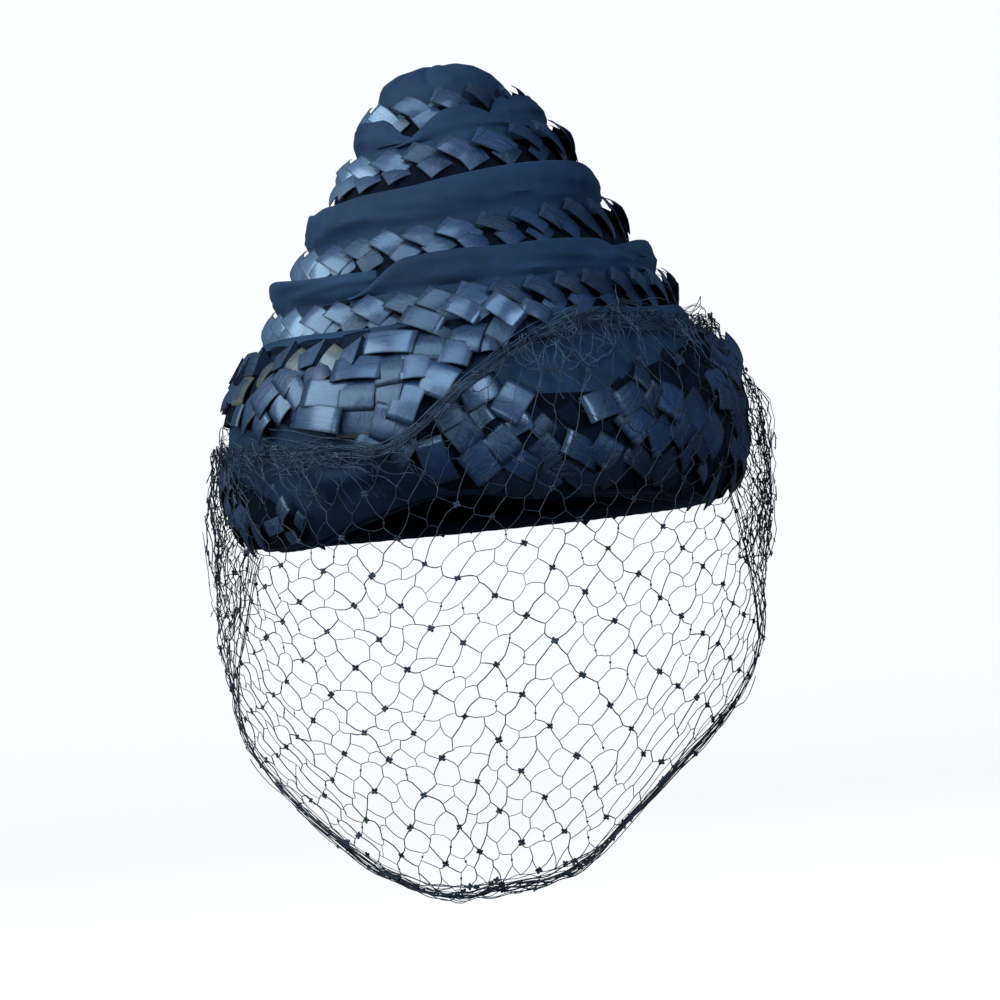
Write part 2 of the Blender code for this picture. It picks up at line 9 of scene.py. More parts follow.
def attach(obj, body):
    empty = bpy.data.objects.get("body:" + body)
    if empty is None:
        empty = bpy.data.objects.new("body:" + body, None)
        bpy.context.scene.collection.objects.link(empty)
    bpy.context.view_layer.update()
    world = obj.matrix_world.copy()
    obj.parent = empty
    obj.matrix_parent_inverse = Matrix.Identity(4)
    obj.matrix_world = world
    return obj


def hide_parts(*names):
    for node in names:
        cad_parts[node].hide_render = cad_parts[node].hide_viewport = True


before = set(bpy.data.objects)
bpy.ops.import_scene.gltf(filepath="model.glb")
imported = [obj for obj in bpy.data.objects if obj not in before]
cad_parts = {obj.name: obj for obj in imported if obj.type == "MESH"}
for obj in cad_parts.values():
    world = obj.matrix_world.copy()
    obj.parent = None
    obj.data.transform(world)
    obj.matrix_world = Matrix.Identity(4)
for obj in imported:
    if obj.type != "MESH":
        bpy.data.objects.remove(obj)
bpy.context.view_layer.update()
mm = 0.001      # tables below are in millimetres, angles in degrees from the front towards +X

# Sizes the whole hat shares, the same as those of its solids
shared = {
    "depthExtra": 16.0,         # the oval is longer than wide by this on each side, at the cuff
    "depthFrom": 45.0,
    "depthTo": 150.0,
    "clothWall": 2.0,
    "strawWall": 2.4,
    "frontDip": 1.6,
    "crownLean": 2.4,
    "ringClearance": 0.7,
    "bandClearance": 1.7,
    "rimArchTop": 30.0,
    "footReach": 0.8,           # how far the foot of a ring goes into the ring below
}


def eased(x, low, high):
    t = min(1.0, max(0.0, (x - low) / (high - low)))
    return t * t * (3.0 - 2.0 * t)


def readRows(rows, column, x):
    # a column's value at x, on a smooth curve through the rows, flat beyond the ends
    if x <= rows[0][0]:
        return rows[0][column]
    if x >= rows[-1][0]:
        return rows[-1][column]
    i = max(k for k in range(len(rows) - 1) if rows[k][0] <= x)

    def slope(k):
        before, after = rows[max(k - 1, 0)], rows[min(k + 1, len(rows) - 1)]
        return (after[column] - before[column]) / (after[0] - before[0])

    width = rows[i + 1][0] - rows[i][0]
    t = (x - rows[i][0]) / width
    return (
        rows[i][column] * (1 - t) ** 2 * (1 + 2 * t)
        + rows[i + 1][column] * t * t * (3 - 2 * t)
        + slope(i) * width * t * (1 - t) ** 2
        - slope(i + 1) * width * t * t * (1 - t)
    )


def straightRows(rows, z):
    # half width at a height on straight lines through (height, half width) rows in rising order
    if z <= rows[0][0]:
        return rows[0][1]
    for (z0, a0), (z1, a1) in zip(rows, rows[1:]):
        if z <= z1:
            return a0 + (a1 - a0) * (z - z0) / (z1 - z0)
    return rows[-1][1]


def signed(angle):
    # the same direction as an angle from -180 to 180
    return (angle + 180.0) % 360.0 - 180.0


def extraDepth(z):
    return shared["depthExtra"] * (1.0 - eased(z, shared["depthFrom"], shared["depthTo"]))


def onOval(angle, a, z):
    turn = math.radians(angle)
    depth = a + extraDepth(z)
    lean = shared["crownLean"] * (eased(z, 82.0, 96.0) - eased(z, 124.0, 134.0) + eased(z, 140.0, 158.0))
    return Vector((a * math.sin(turn) - lean, -depth * math.cos(turn), z))


# Shader and geometry trees


class Wire:
    # an output socket; arithmetic on it adds Math nodes to its tree
    def __init__(self, plan, socket):
        self.plan = plan
        self.socket = socket

    def out(self, key):
        return Wire(self.plan, self.socket.node.outputs[key])

    def math(self, operation, first, second=0.0, third=0.0):
        return self.plan.node("ShaderNodeMath", {"operation": operation}, {0: first, 1: second, 2: third})

    def __add__(self, other):
        return self.math("ADD", self, other)

    def __radd__(self, other):
        return self.math("ADD", other, self)

    def __sub__(self, other):
        return self.math("SUBTRACT", self, other)

    def __rsub__(self, other):
        return self.math("SUBTRACT", other, self)

    def __mul__(self, other):
        return self.math("MULTIPLY", self, other)

    def step(self, low, high):
        # 0 below low, 1 above high, smooth between
        return self.plan.node(
            "ShaderNodeMapRange", {"interpolation_type": "SMOOTHSTEP"},
            {"Value": self, "From Min": low, "From Max": high},
        )


class Plan:
    # a node tree, with one way of adding a node to it
    def __init__(self, tree):
        self.tree = tree

    def node(self, kind, settings=None, sockets=None, output=0):
        made = self.tree.nodes.new(kind)
        for key, value in (settings or {}).items():
            setattr(made, key, value)
        for key, value in (sockets or {}).items():
            if isinstance(value, Wire):
                self.tree.links.new(value.socket, made.inputs[key])
            elif value is not None:
                made.inputs[key].default_value = value
        return Wire(self, made.outputs[output])

    def mixColour(self, factor, first, second):
        def full(colour):
            return colour if isinstance(colour, Wire) else (*colour, 1.0)
        return self.node(
            "ShaderNodeMix", {"data_type": "RGBA"}, {0: factor, 6: full(first), 7: full(second)}, output=2,
        )

    def noise(self, vector, scale, detail=3.0, roughness=0.55, distortion=0.0):
        return self.node(
            "ShaderNodeTexNoise", {},
            {"Vector": vector, "Scale": scale, "Detail": detail, "Roughness": roughness, "Distortion": distortion},
        )

    def stretched(self, vector, scale):
        return self.node("ShaderNodeMapping", {}, {"Vector": vector, "Scale": scale})

    def bump(self, height, distance, strength=1.0, normal=None):
        return self.node(
            "ShaderNodeBump", {},
            {"Height": height, "Distance": distance, "Strength": strength, "Normal": normal},
        )


def newMaterial(name, settings):
    # a Principled material whose constants go straight on its sockets
    material = bpy.data.materials.new(name)
    material.use_nodes = True
    plan = Plan(material.node_tree)
    shader = material.node_tree.nodes["Principled BSDF"]
    for key, value in settings.items():
        shader.inputs[key].default_value = value

    def feed(key, wire):
        plan.tree.links.new(wire.socket, shader.inputs[key])

    return material, plan, feed


# Materials

strawLook = {
    "deep": (0.0020, 0.0045, 0.0100),
    "face": (0.0060, 0.0170, 0.0460),
    "paintedReflection": (0.100, 0.125, 0.150),  # painted reflection of the sky: the palest strips, at the left ends of the rows
    "worn": (0.170, 0.115, 0.045),      # golden straw where the dye is thin
    "wornDark": (0.06, 0.045, 0.03),
    "edge": (0.0006, 0.001, 0.002),     # the shadow along the edges of a strip
    "streaks": 30.0,
    "fibreDepth": 0.00025,
    "crinkleDepth": 0.0009,
}


def makeStraw(name, coated):
    # dyed and lacquered straw: fibres run along each strip, the dye thins at its ends; strips whose tone passes 1 get a
    # painted reflection of the sky
    material, plan, feed = newMaterial(name, {
        "Specular IOR Level": 0.48 if coated else 0.10, "Coat Roughness": 0.22, "Coat IOR": 1.5,
    })
    uv = plan.node("ShaderNodeUVMap", {"uv_map": "stripUv"})
    tone = plan.node("ShaderNodeAttribute", {"attribute_name": "tone"}, output=2)
    wear = plan.node("ShaderNodeAttribute", {"attribute_name": "wear"}, output=2)
    place = plan.node("ShaderNodeTexCoord", output=3)
    moved = plan.node(
        "ShaderNodeVectorMath", {"operation": "ADD"},
        {0: uv, 1: plan.node("ShaderNodeCombineXYZ", {}, {"X": tone * 7.0, "Y": tone * 23.0, "Z": tone * 5.0})},
    )
    fibre = plan.noise(plan.stretched(moved, (1.4, strawLook["streaks"], 1.0)), 1.0, 3.0, 0.65)
    ribs = plan.noise(plan.stretched(moved, (0.5, 9.0, 1.0)), 1.0, 2.0)
    blotch = plan.noise(place, 160.0, 3.0, 0.6)
    ends = plan.node("ShaderNodeSeparateXYZ", {}, {"Vector": uv})
    along = plan.node("ShaderNodeMath", {"operation": "ABSOLUTE"}, {0: ends.out("X") - 0.5}) * 2.0
    across = plan.node("ShaderNodeMath", {"operation": "ABSOLUTE"}, {0: ends.out("Y") - 0.5}) * 2.0
    edge = along.step(0.55, 1.0)
    rim = 1.0 - (1.0 - along.step(0.86, 1.0)) * (1.0 - across.step(0.80, 1.0))
    # the uncoated back is dull and takes the deep colour all over, painted shade for the gaps between the strips
    face = strawLook["face"] if coated else strawLook["deep"]
    # the tone differs at random from strip to strip, and also carries painted light: raised at the left row ends as a
    # painted reflection, lowered on low-lying placed strips as painted shade
    shade = plan.mixColour((fibre * 0.9 + tone * 0.5).step(0.30, 1.0), strawLook["deep"], face)
    # painted reflection: where the tone passes 0.95 the fibres take the pale colour, standing in for the sky's light on
    # the left row ends
    shade = plan.mixColour(tone.step(0.95, 1.2) * fibre, shade, strawLook["paintedReflection"])
    worn = (edge * 0.35 + blotch * 0.6 + wear * 0.9).step(1.02, 1.35)
    gold = plan.mixColour(fibre, strawLook["worn"], strawLook["wornDark"])
    feed("Base Color", plan.mixColour(worn * 0.8, plan.mixColour(rim * 0.8, shade, strawLook["edge"]), gold))
    feed("Roughness", (0.30 if coated else 0.6) + fibre * 0.20 + blotch * 0.20 + rim * 0.15)
    if coated:
        feed("Coat Weight", (0.06 + tone * 0.80) * (1.0 - rim * 0.9))
    crinkle = plan.noise(plan.stretched(moved, (2.6, 5.0, 1.0)), 1.0, 3.0, 0.6, 0.4)
    rough = plan.bump(crinkle, strawLook["crinkleDepth"], 0.7)
    feed("Normal", plan.bump(fibre * 0.9 + ribs * 0.5 + blotch * 0.3, strawLook["fibreDepth"], 0.85, rough))
    return material


clothLook = {
    "deep": (0.0030, 0.0078, 0.0165),
    "face": (0.0120, 0.0252, 0.0465),
    "twillPitch": 0.00055,
    "lint": (0.20, 0.21, 0.20),
}


def makeCloth(name, lint):
    # fine twill with a soft sheen, slightly dusty, with odd bits of lint
    material, plan, feed = newMaterial(name, {
        "Specular IOR Level": 0.22, "Sheen Weight": 0.05, "Sheen Roughness": 0.5,
        "Sheen Tint": (0.42, 0.55, 0.80, 1.0),
    })
    place = plan.node("ShaderNodeTexCoord", output=3)
    uv = plan.node("ShaderNodeUVMap", {"uv_map": "clothUv"})
    twill = plan.node(
        "ShaderNodeTexWave", {"wave_type": "BANDS", "bands_direction": "DIAGONAL"},
        {"Vector": uv, "Scale": 0.31 / clothLook["twillPitch"], "Distortion": 1.2, "Detail": 1.0,
         "Detail Scale": 2.0},
    )
    weave = plan.noise(uv, 2600.0, 1.0)
    cloud = plan.noise(place, 26.0, 4.0, 0.6)
    dust = plan.noise(place, 120.0, 5.0, 0.75)
    specks = plan.node(
        "ShaderNodeTexVoronoi", {"feature": "F1"}, {"Vector": place, "Scale": 190.0, "Randomness": 1.0},
    )
    shade = plan.mixColour((cloud * 0.8 + dust * 0.35).step(0.35, 0.85), clothLook["deep"], clothLook["face"])
    fluff = (1.0 - specks.step(0.05, 0.13)) * dust.step(0.60, 0.70) * lint
    feed("Base Color", plan.mixColour(fluff, shade, clothLook["lint"]))
    feed("Roughness", 0.62 + cloud * 0.22)
    feed("Normal", plan.bump(
        twill * 0.6 + weave * 0.4, 0.00007, 0.5, plan.bump(cloud * 1.0 + dust * 0.25, 0.0012, 0.5),
    ))
    return material


# the paler third thread colour is a painted highlight, for the light that single threads catch against the dark cloth
netLook = {"dark": (0.003, 0.0035, 0.005), "light": (0.010, 0.012, 0.017), "paintedHighlight": (0.055, 0.066, 0.082)}


def makeNet(name, light):
    # fine twisted nylon thread, a little shiny
    material, plan, feed = newMaterial(name, {"Specular IOR Level": 0.4})
    place = plan.node("ShaderNodeTexCoord", output=3)
    twist = plan.noise(place, 1400.0, 2.0)
    patch = plan.noise(place, 90.0, 2.0)
    feed("Base Color", plan.mixColour((patch + twist * 0.4).step(0.45, 0.95), netLook["dark"], light))
    feed("Roughness", 0.38 + twist * 0.22)
    feed("Normal", plan.bump(twist, 0.00006, 0.6))
    return material


def makePaper(name):
    # the pale backdrop, which glows evenly so that thin threads show against it
    material, plan, feed = newMaterial(name, {"Specular IOR Level": 0.1, "Emission Strength": 0.86})
    place = plan.node("ShaderNodeTexCoord", output=3)
    grain = plan.noise(place, 900.0, 2.0)
    feed("Base Color", plan.mixColour(grain, (0.42, 0.40, 0.38), (0.45, 0.43, 0.41)))
    feed("Emission Color", plan.mixColour(grain, (0.99, 0.965, 0.935), (1.0, 0.975, 0.945)))
    feed("Roughness", 0.80 + grain * 0.1)
    return material


straw = makeStraw("lacquered straw", True)
# the plait's dull back, painted dark as the shade between the strips
strawBackPaintedShade = makeStraw("back of the plait, painted shade", False)
clothTwill = makeCloth("navy twill", 0.75)
netThread = makeNet("net thread", netLook["light"])
# paler threads, a painted highlight
netPaintedHighlight = makeNet("net thread, painted highlight", netLook["paintedHighlight"])
print("materials made")

# Mesh helpers


def put(name, data):
    made = bpy.data.objects.new(name, data)
    bpy.context.scene.collection.objects.link(made)
    return made


def smoothed(mesh, sharpAngle):
    mesh.shade_smooth()
    mesh.set_sharp_from_angle(angle=math.radians(sharpAngle))


def closed(bm, name):
    # the mesh of a bmesh, which is freed
    mesh = bpy.data.meshes.new(name)
    bm.to_mesh(mesh)
    bm.free()
    return mesh


def tileOf(name, mesh):
    # a mesh for Geometry Nodes to lay, itself not rendered
    tile = put(name, mesh)
    tile.hide_render = True
    return tile


def finish(name, mesh, node, material=None, smooth=True):
    # puts a mesh in the scene as a piece that stands for one of the solids
    mesh.name = name
    if material:
        mesh.materials.clear()
        mesh.materials.append(material)
    if smooth:
        smoothed(mesh, 42.0)
    piece = put(name, mesh)
    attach(piece, "root")
    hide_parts(node)


def sweep(sections, joined, uvName="clothUv"):
    # a skin through closed sections in millimetres, a ring or a strip with closed ends, with a UV map in metres
    bm = bmesh.new()
    uvLayer = bm.loops.layers.uv.new(uvName)
    loops = [[bm.verts.new(point * mm) for point in section] for section in sections]
    count = len(loops[0])
    following = loops[1:] + loops[:1] if joined else loops[1:]
    along = 0.0
    for loop, after in zip(loops, following):
        step = (loop[0].co - after[0].co).length
        around = 0.0
        for i in range(count):
            j = (i + 1) % count
            rise = (loop[i].co - loop[j].co).length
            face = bm.faces.new((loop[i], loop[j], after[j], after[i]))
            spots = ((along, around), (along, around + rise), (along + step, around + rise), (along + step, around))
            for corner, spot in zip(face.loops, spots):
                corner[uvLayer].uv = spot
            around += rise
        along += step
    if not joined:
        bm.faces.new(loops[0])
        bm.faces.new(loops[-1][::-1])
    bmesh.ops.recalc_face_normals(bm, faces=bm.faces)
    return closed(bm, "skin")


def wave(x, y, z, size, seed=0.0):
    # smooth noise from -1 to 1 at a point in millimetres
    return noise.noise(Vector((x / size + seed, y / size - seed, z / size + 2.0 * seed)))


# Crown

crown = {
    # name: straw, tilt, (foot z, a), (middle z, a), (lip z, a), lobes, ripple
    "fold_3":      (False, 0.000, (50.0, 91.4), (63.0, 84.2), (69.5, 83.6), 5, 0.5),
    "braid_row_3": (True,  0.020, (61.0, 84.0), (69.0, 80.8), (82.0, 78.0), 0, 0.0),
    "fold_2":      (False, 0.028, (73.0, 80.0), (82.0, 77.0), (93.0, 75.8), 4, 0.7),
    "braid_row_2": (True,  0.085, (84.0, 76.0), (96.5, 65.4), (108.8, 61.2), 0, 0.0),
    "fold_1":      (False, 0.100, (98.0, 63.5), (108.0, 59.6), (125.5, 57.4), 3, 0.7),
    "braid_row_1": (True,  0.090, (113.0, 56.5), (127.0, 47.4), (143.0, 41.8), 0, 0.0),
    "tip_fold":    (False, 0.085, (132.0, 43.0), (143.0, 39.0), (154.0, 34.8), 3, 1.2),
    "tip_braid":   (True,  0.050, (144.0, 36.5), (151.0, 31.8), (162.0, 27.8), 0, 0.0),
}
# strips of cloth that are only part of a ring:
# start, end, how far the lip is raised, how far its ends drop, over which angle, how far they are pressed in, curl
strips = {
    "fold_2_back":    ("fold_2", 52.0, 334.0, 1.5, 0.0, 20.0, 2.6, 0.0),
    "fold_2_front":   ("fold_2", -36.0, 66.0, 2.6, 9.0, 22.0, 0.0, 1.5),
    "tip_fold_back":  ("tip_fold", 24.0, 332.0, 3.0, 6.0, 24.0, 2.6, 0.0),
    "tip_fold_front": ("tip_fold", -34.0, 44.0, 0.0, 9.0, 34.0, 0.0, 1.0),
}
cuffOuter = (
    (-6.5, 85.0), (-7.5, 89.0), (0.0, 94.8), (8.0, 97.6), (16.0, 99.2), (25.0, 99.8), (34.0, 99.3), (42.0, 97.4),
    (50.0, 94.2), (57.0, 90.4), (64.0, 87.2),
)
cuffInner = ((-4.3, 85.0), (2.0, 93.2), (15.0, 97.0), (33.0, 97.5), (46.0, 94.0), (64.0, 85.2))
cuffShoulder = (72.0, 86.0)


def tuckedShare(start, end, angle):
    inside = min((angle - start) % 360.0, (end - angle) % 360.0)
    outside = min((start - angle) % 360.0, (angle - end) % 360.0)
    return 1.0 - (eased(outside, 4.0, 20.0) if outside < inside else eased(inside, 22.0, 40.0))


class CuffTop:
    # the cuff, as the seat of the lowest ring of the crown
    def lipZ(self, angle):
        return cuffOuter[-1][0] - 1.0

    def narrowsZ(self, angle):
        return 46.0

    def inner(self, angle, z):
        return straightRows(cuffInner, z)

    plainInner = inner


class CrownRing:
    def __init__(self, name, below):
        self.name = name
        self.straw, self.tilt, self.foot, self.middle, self.lip, self.lobes, self.ripple = crown[name]
        self.below = below
        self.wall = shared["strawWall"] if self.straw else shared["clothWall"]

    def rise(self, angle, a):
        turn = math.radians(angle)
        return self.tilt * a * math.sin(turn) - shared["frontDip"] * math.cos(turn)

    def lipZ(self, angle):
        ripple = self.ripple * math.sin(math.radians(angle * self.lobes + 40.0))
        return self.lip[0] + self.rise(angle, self.lip[1]) + ripple

    def face(self, angle, inset=0.0):
        # (height, half width) of the outer face at foot, middle and lip, inside the ring below
        footZ = self.foot[0] + self.rise(angle, self.foot[1])
        middleZ = self.middle[0] + self.rise(angle, self.middle[1])
        if not self.straw:
            middleZ = self.below.lipZ(angle)
        narrowsZ = max(footZ, self.below.narrowsZ(angle))
        footA = min(self.foot[1], self.below.inner(angle, narrowsZ) - shared["ringClearance"])
        middleA = self.middle[1]
        if middleZ <= self.below.lipZ(angle):
            middleA = min(middleA, self.below.inner(angle, middleZ) - shared["ringClearance"])
        return [(footZ, footA - inset), (middleZ, middleA - inset), (self.lipZ(angle), self.lip[1] - inset)]

    def inner(self, angle, z):
        sunk = max([0.0] + [s[6] * tuckedShare(s[1], s[2], angle) for s in strips.values() if s[0] == self.name])
        return straightRows([(h, a - self.wall - sunk) for h, a in self.face(angle)], z)

    def plainInner(self, angle, z):
        return straightRows([(h, a - self.wall) for h, a in self.face(angle)], z)

    def spreadFoot(self, angle):
        # the foot is sewn to the inside of the ring below, so no light comes through there
        footZ = self.face(angle)[0][0]
        return footZ, self.below.plainInner(angle, footZ) + shared["footReach"]

    def narrowsZ(self, angle):
        return self.face(angle)[1][0]

    def point(self, angle, z, out=0.0):
        return onOval(angle, straightRows(self.face(angle), z) + out, z)


rings = {}
seat = CuffTop()
for ringName in crown:
    seat = CrownRing(ringName, seat)
    rings[ringName] = seat

folds = {
    "columns": 220,         # sections round a whole ring
    "belly": 1.5,           # how far the cloth stands out between the ring below and its own lip
    "rollSteps": 5,
    "wrinkle": 1.9,
    "crease": 1.3,
    "lipWave": 1.4,
}
# how far a lip turns down: angle of the middle, angle to each side, depth
lipTurns = {"fold_1": ((90.0, 32.0, 6.5), (-72.0, 14.0, 1.6)), "fold_3": ()}


def foldSection(ring, angle, lipShift=0.0, inset=0.0, curl=0.0, belly=1.0, seed=0.0):
    # a doubled cloth fold: foot, round belly, rolled lip, and back down the inside
    face = ring.face(angle, inset)
    foot, middle, lip = face
    lipZ = max(lip[0] + lipShift, middle[0] + 1.0)
    lipA = straightRows(face, lipZ) + curl
    wall = ring.wall
    tall = lipZ - middle[0]
    turn = math.radians(angle)
    radius = lip[1]

    def outward(z, a, share):
        x, y = radius * math.sin(turn), radius * math.cos(turn)
        soft = wave(x, y, z * 1.6, 24.0, 3.1 + seed) * folds["wrinkle"]
        fine = wave(x * 0.5, y * 0.5, z * 3.0, 9.0, 7.7 + seed) * folds["crease"]
        return a + belly * folds["belly"] * math.sin(math.pi * share) ** 0.8 + (soft + fine) * math.sin(math.pi * share)

    outline = [
        ring.spreadFoot(angle), (foot[0] * 0.5 + middle[0] * 0.5, foot[1] * 0.5 + middle[1] * 0.5),
        (middle[0] - 0.4, middle[1]),
    ]
    sunkA = middle[1] - 0.6
    steps = 9
    for k in range(steps):
        share = (k + 0.5) / steps
        z = middle[0] + (tall - wall * 0.5) * share
        a = sunkA + (lipA - sunkA) * share ** 0.9
        outline.append((z, outward(z, a, share)))
    topZ, topA = lipZ - wall * 0.5, lipA - wall * 0.5
    for k in range(folds["rollSteps"] + 1):
        roll = math.pi * k / folds["rollSteps"]
        outline.append((topZ + wall * 0.5 * math.sin(roll), topA + wall * 0.5 * math.cos(roll)))
    outline.append((middle[0] + tall * 0.4, straightRows(face, middle[0] + tall * 0.4) - wall))
    outline.append((middle[0], middle[1] - wall))
    outline.append((foot[0], foot[1] - wall))
    return [onOval(angle, a, z) for z, a in outline]


def lipWave(angle, seed):
    turn = math.radians(angle)
    return folds["lipWave"] * wave(60.0 * math.sin(turn), 60.0 * math.cos(turn), seed * 31.0, 26.0)


def makeClosedFold(name, seed):
    ring = rings[name]
    count = folds["columns"]
    sections = []
    for i in range(count):
        angle = 360.0 * i / count
        shift = -sum(
            depth * (1.0 - eased(abs(signed(angle - middle)), 0.0, side))
            for middle, side, depth in lipTurns[name]
        )
        sections.append(foldSection(ring, angle, shift + lipWave(angle, seed), seed=seed))
    finish(name + "_cloth", sweep(sections, True), name, clothTwill)


def makeStripFold(name, seed):
    ringKey, start, end, lipRise, endDrop, endLength, insetMost, curl = strips[name]
    count = round((end - start) / 1.6)
    sections = []
    for i in range(count + 1):
        angle = start + (end - start) * i / count
        fromEnd = min(angle - start, end - angle)
        nearEnd = 1.0 - eased(fromEnd, 0.0, endLength)
        shift = lipRise - (endDrop + lipRise) * nearEnd
        inset = insetMost * tuckedShare(start, end, angle)
        belly = 1.0 - 0.6 * nearEnd
        shift += lipWave(angle, seed) * (1.0 - nearEnd)
        sections.append(foldSection(rings[ringKey], angle, shift, inset, curl * nearEnd, belly, seed))
    finish(name + "_cloth", sweep(sections, False), name, clothTwill)


for seed, foldName in enumerate(("fold_3", "fold_1")):
    makeClosedFold(foldName, seed * 1.3)
for seed, stripName in enumerate(strips):
    makeStripFold(stripName, 5.0 + seed * 1.7)
print("cloth folds made")

# Tip

tip = {
    "dome": ((163.5, 24.6), (167.5, 21.6), (171.3, 15.5), (173.7, 8.0)),
    "top": 174.5,
    "foot": 154.0,
    "columns": 120,
    "folds": 3,
    "foldDepth": 1.3,
    "pleats": 3,
    "pleatDepth": 2.7,
}


def makeTipCap():
    # gathered cloth over the tip, with pleats that run to one side of its top
    ring = rings["tip_braid"]
    bm = bmesh.new()
    uvLayer = bm.loops.layers.uv.new("clothUv")
    loops = []
    for i in range(tip["columns"]):
        angle = 360.0 * i / tip["columns"]
        footZ = tip["foot"] + ring.rise(angle, ring.middle[1])
        footA = ring.inner(angle, footZ) - shared["ringClearance"]
        edgeZ = ring.lipZ(angle)
        edgeA = ring.inner(angle, edgeZ) - shared["ringClearance"]
        fold = tip["foldDepth"] * math.sin(math.radians(angle * tip["folds"]))
        rows = [(edgeZ, edgeA)] + [(z, a + fold) for z, a in tip["dome"] if z > edgeZ + 1.0] + [(tip["top"], 0.0)]
        outline = [(footZ, footA + shared["ringClearance"] + shared["footReach"])]
        for k in range(20):
            share = k / 19.0
            a = edgeA * math.cos(share * math.pi / 2.0)
            z = edgeZ
            for (z0, a0), (z1, a1) in zip(rows, rows[1:]):
                if min(a0, a1) <= a <= max(a0, a1):
                    z = z0 + (z1 - z0) * (a0 - a) / max(a0 - a1, 0.001)
            turned = angle + 40.0 * share
            pleat = math.sin(math.radians(turned * tip["pleats"] + 50.0 * math.sin(math.radians(turned * 2.0))))
            sharp = 1.0 - abs(pleat) ** 0.6
            bulge = (0.4 - sharp) * tip["pleatDepth"] * math.sin(math.pi * min(1.0, share * 1.15)) ** 0.7
            outline.append((z + bulge, a))
        inner = [(z - shared["clothWall"] * 0.6, max(0.0, a - shared["clothWall"])) for z, a in outline[1:]]
        inner = [(footZ, footA - shared["clothWall"])] + inner[:-1] + [(tip["top"] - shared["clothWall"], 0.0)]
        loops.append([onOval(angle, max(a, 0.0), z) * mm for z, a in outline + inner[::-1]])
    made = [[bm.verts.new(point) for point in loop] for loop in loops]
    count = len(made[0])
    middle = count // 2 - 1
    for i, loop in enumerate(made):
        after = made[(i + 1) % len(made)]
        for k in range(count):
            if k != middle:
                j = (k + 1) % count
                face = bm.faces.new((loop[k], loop[j], after[j], after[k]))
                spots = ((i, k), (i, k + 1), (i + 1, k + 1), (i + 1, k))
                for corner, (u, v) in zip(face.loops, spots):
                    corner[uvLayer].uv = (u * 0.0014, v * 0.0022)
    bmesh.ops.remove_doubles(bm, verts=bm.verts, dist=0.00002)
    bmesh.ops.recalc_face_normals(bm, faces=bm.faces)
    finish("tip_cap_cloth", closed(bm, "cap"), "tip_cap", clothTwill)


makeTipCap()

# Strips laid by Geometry Nodes


def thinPatch(bm, uvLayer, place, uCount, vCount, wall, uvAt):
    # a patch through place(u, v) with a wall behind it, closed round its rim
    front, back = {}, {}
    for i in range(uCount + 1):
        for j in range(vCount + 1):
            point = place(i / uCount, j / vCount)
            front[i, j] = bm.verts.new(point * mm)
            back[i, j] = bm.verts.new((point - Vector((0.0, 0.0, wall))) * mm)

    def quad(keys, layers):
        face = bm.faces.new([layer[key] for layer, key in zip(layers, keys)])
        for corner, (i, j) in zip(face.loops, keys):
            corner[uvLayer].uv = uvAt(i / uCount, j / vCount)

    for i in range(uCount):
        for j in range(vCount):
            keys = ((i, j), (i + 1, j), (i + 1, j + 1), (i, j + 1))
            quad(keys, (front,) * 4)
            quad(keys[::-1], (back,) * 4)
    outward, inward = (front, back, back, front), (back, front, front, back)
    for i in range(uCount):
        for j, layers in ((0, outward), (vCount, inward)):
            quad(((i, j), (i, j), (i + 1, j), (i + 1, j)), layers)
    for j in range(vCount):
        for i, layers in ((0, inward), (uCount, outward)):
            quad(((i, j), (i, j), (i, j + 1), (i, j + 1)), layers)


def stripMesh(name, corners, arch, dome, nu, nv, wall, flap=None, bow=0.0):
    # a thin strip tile: a bowed four-cornered patch, with a flap folded back behind its upper left edge
    bottomLeft, bottomRight, topRight, topLeft = (Vector((*c, 0.0)) for c in corners)
    bm = bmesh.new()
    uvLayer = bm.loops.layers.uv.new("stripUv")

    def faceAt(u, v):
        low = bottomLeft.lerp(bottomRight, u)
        high = topLeft.lerp(topRight, u)
        point = low.lerp(high, v)
        point.y += bow * math.sin(math.pi * u) * v
        point.z = arch * math.sin(math.pi * (0.12 + 0.80 * u)) + dome * (1.0 - (2.0 * v - 1.0) ** 2)
        return point

    def flapAt(u, v):
        away = Vector((flap[0], flap[1], flap[2] if u > 0.5 else flap[2] * 0.6))
        taper = 0.25 + 0.75 * v
        return faceAt(0.0, v) + away * u * taper - Vector((0.0, 0.0, 0.04))

    thinPatch(bm, uvLayer, faceAt, nu, nv, wall, lambda u, v: (u, v))
    if flap:
        thinPatch(bm, uvLayer, flapAt, 2, max(1, nv - 1), wall, lambda u, v: (0.5 + 0.5 * u, v))
    bmesh.ops.recalc_face_normals(bm, faces=bm.faces)
    mesh = closed(bm, name)
    smoothed(mesh, 50.0)
    return tileOf(name, mesh)


def siteObject(name, sites):
    # one vertex for each strip: its place in millimetres, the way it faces and runs, its size, tone and wear
    mesh = bpy.data.meshes.new(name)
    mesh.from_pydata([tuple(site["at"] * mm) for site in sites], [], [])
    for key in ("facing", "running", "stretch"):
        layer = mesh.attributes.new(key, "FLOAT_VECTOR", "POINT")
        layer.data.foreach_set("vector", [c for site in sites for c in site[key]])
    for key in ("shade", "faded"):
        layer = mesh.attributes.new(key, "FLOAT", "POINT")
        layer.data.foreach_set("value", [site[key] for site in sites])
    return put(name, mesh)


def newGeometryPlan(name, inputs):
    tree = bpy.data.node_groups.new(name, "GeometryNodeTree")
    tree.interface.new_socket("Geometry", in_out="INPUT", socket_type="NodeSocketGeometry")
    tree.interface.new_socket("Geometry", in_out="OUTPUT", socket_type="NodeSocketGeometry")
    for label, kind in inputs.items():
        tree.interface.new_socket(label, in_out="INPUT", socket_type="NodeSocket" + kind)
    plan = Plan(tree)
    return plan, plan.node("NodeGroupInput")


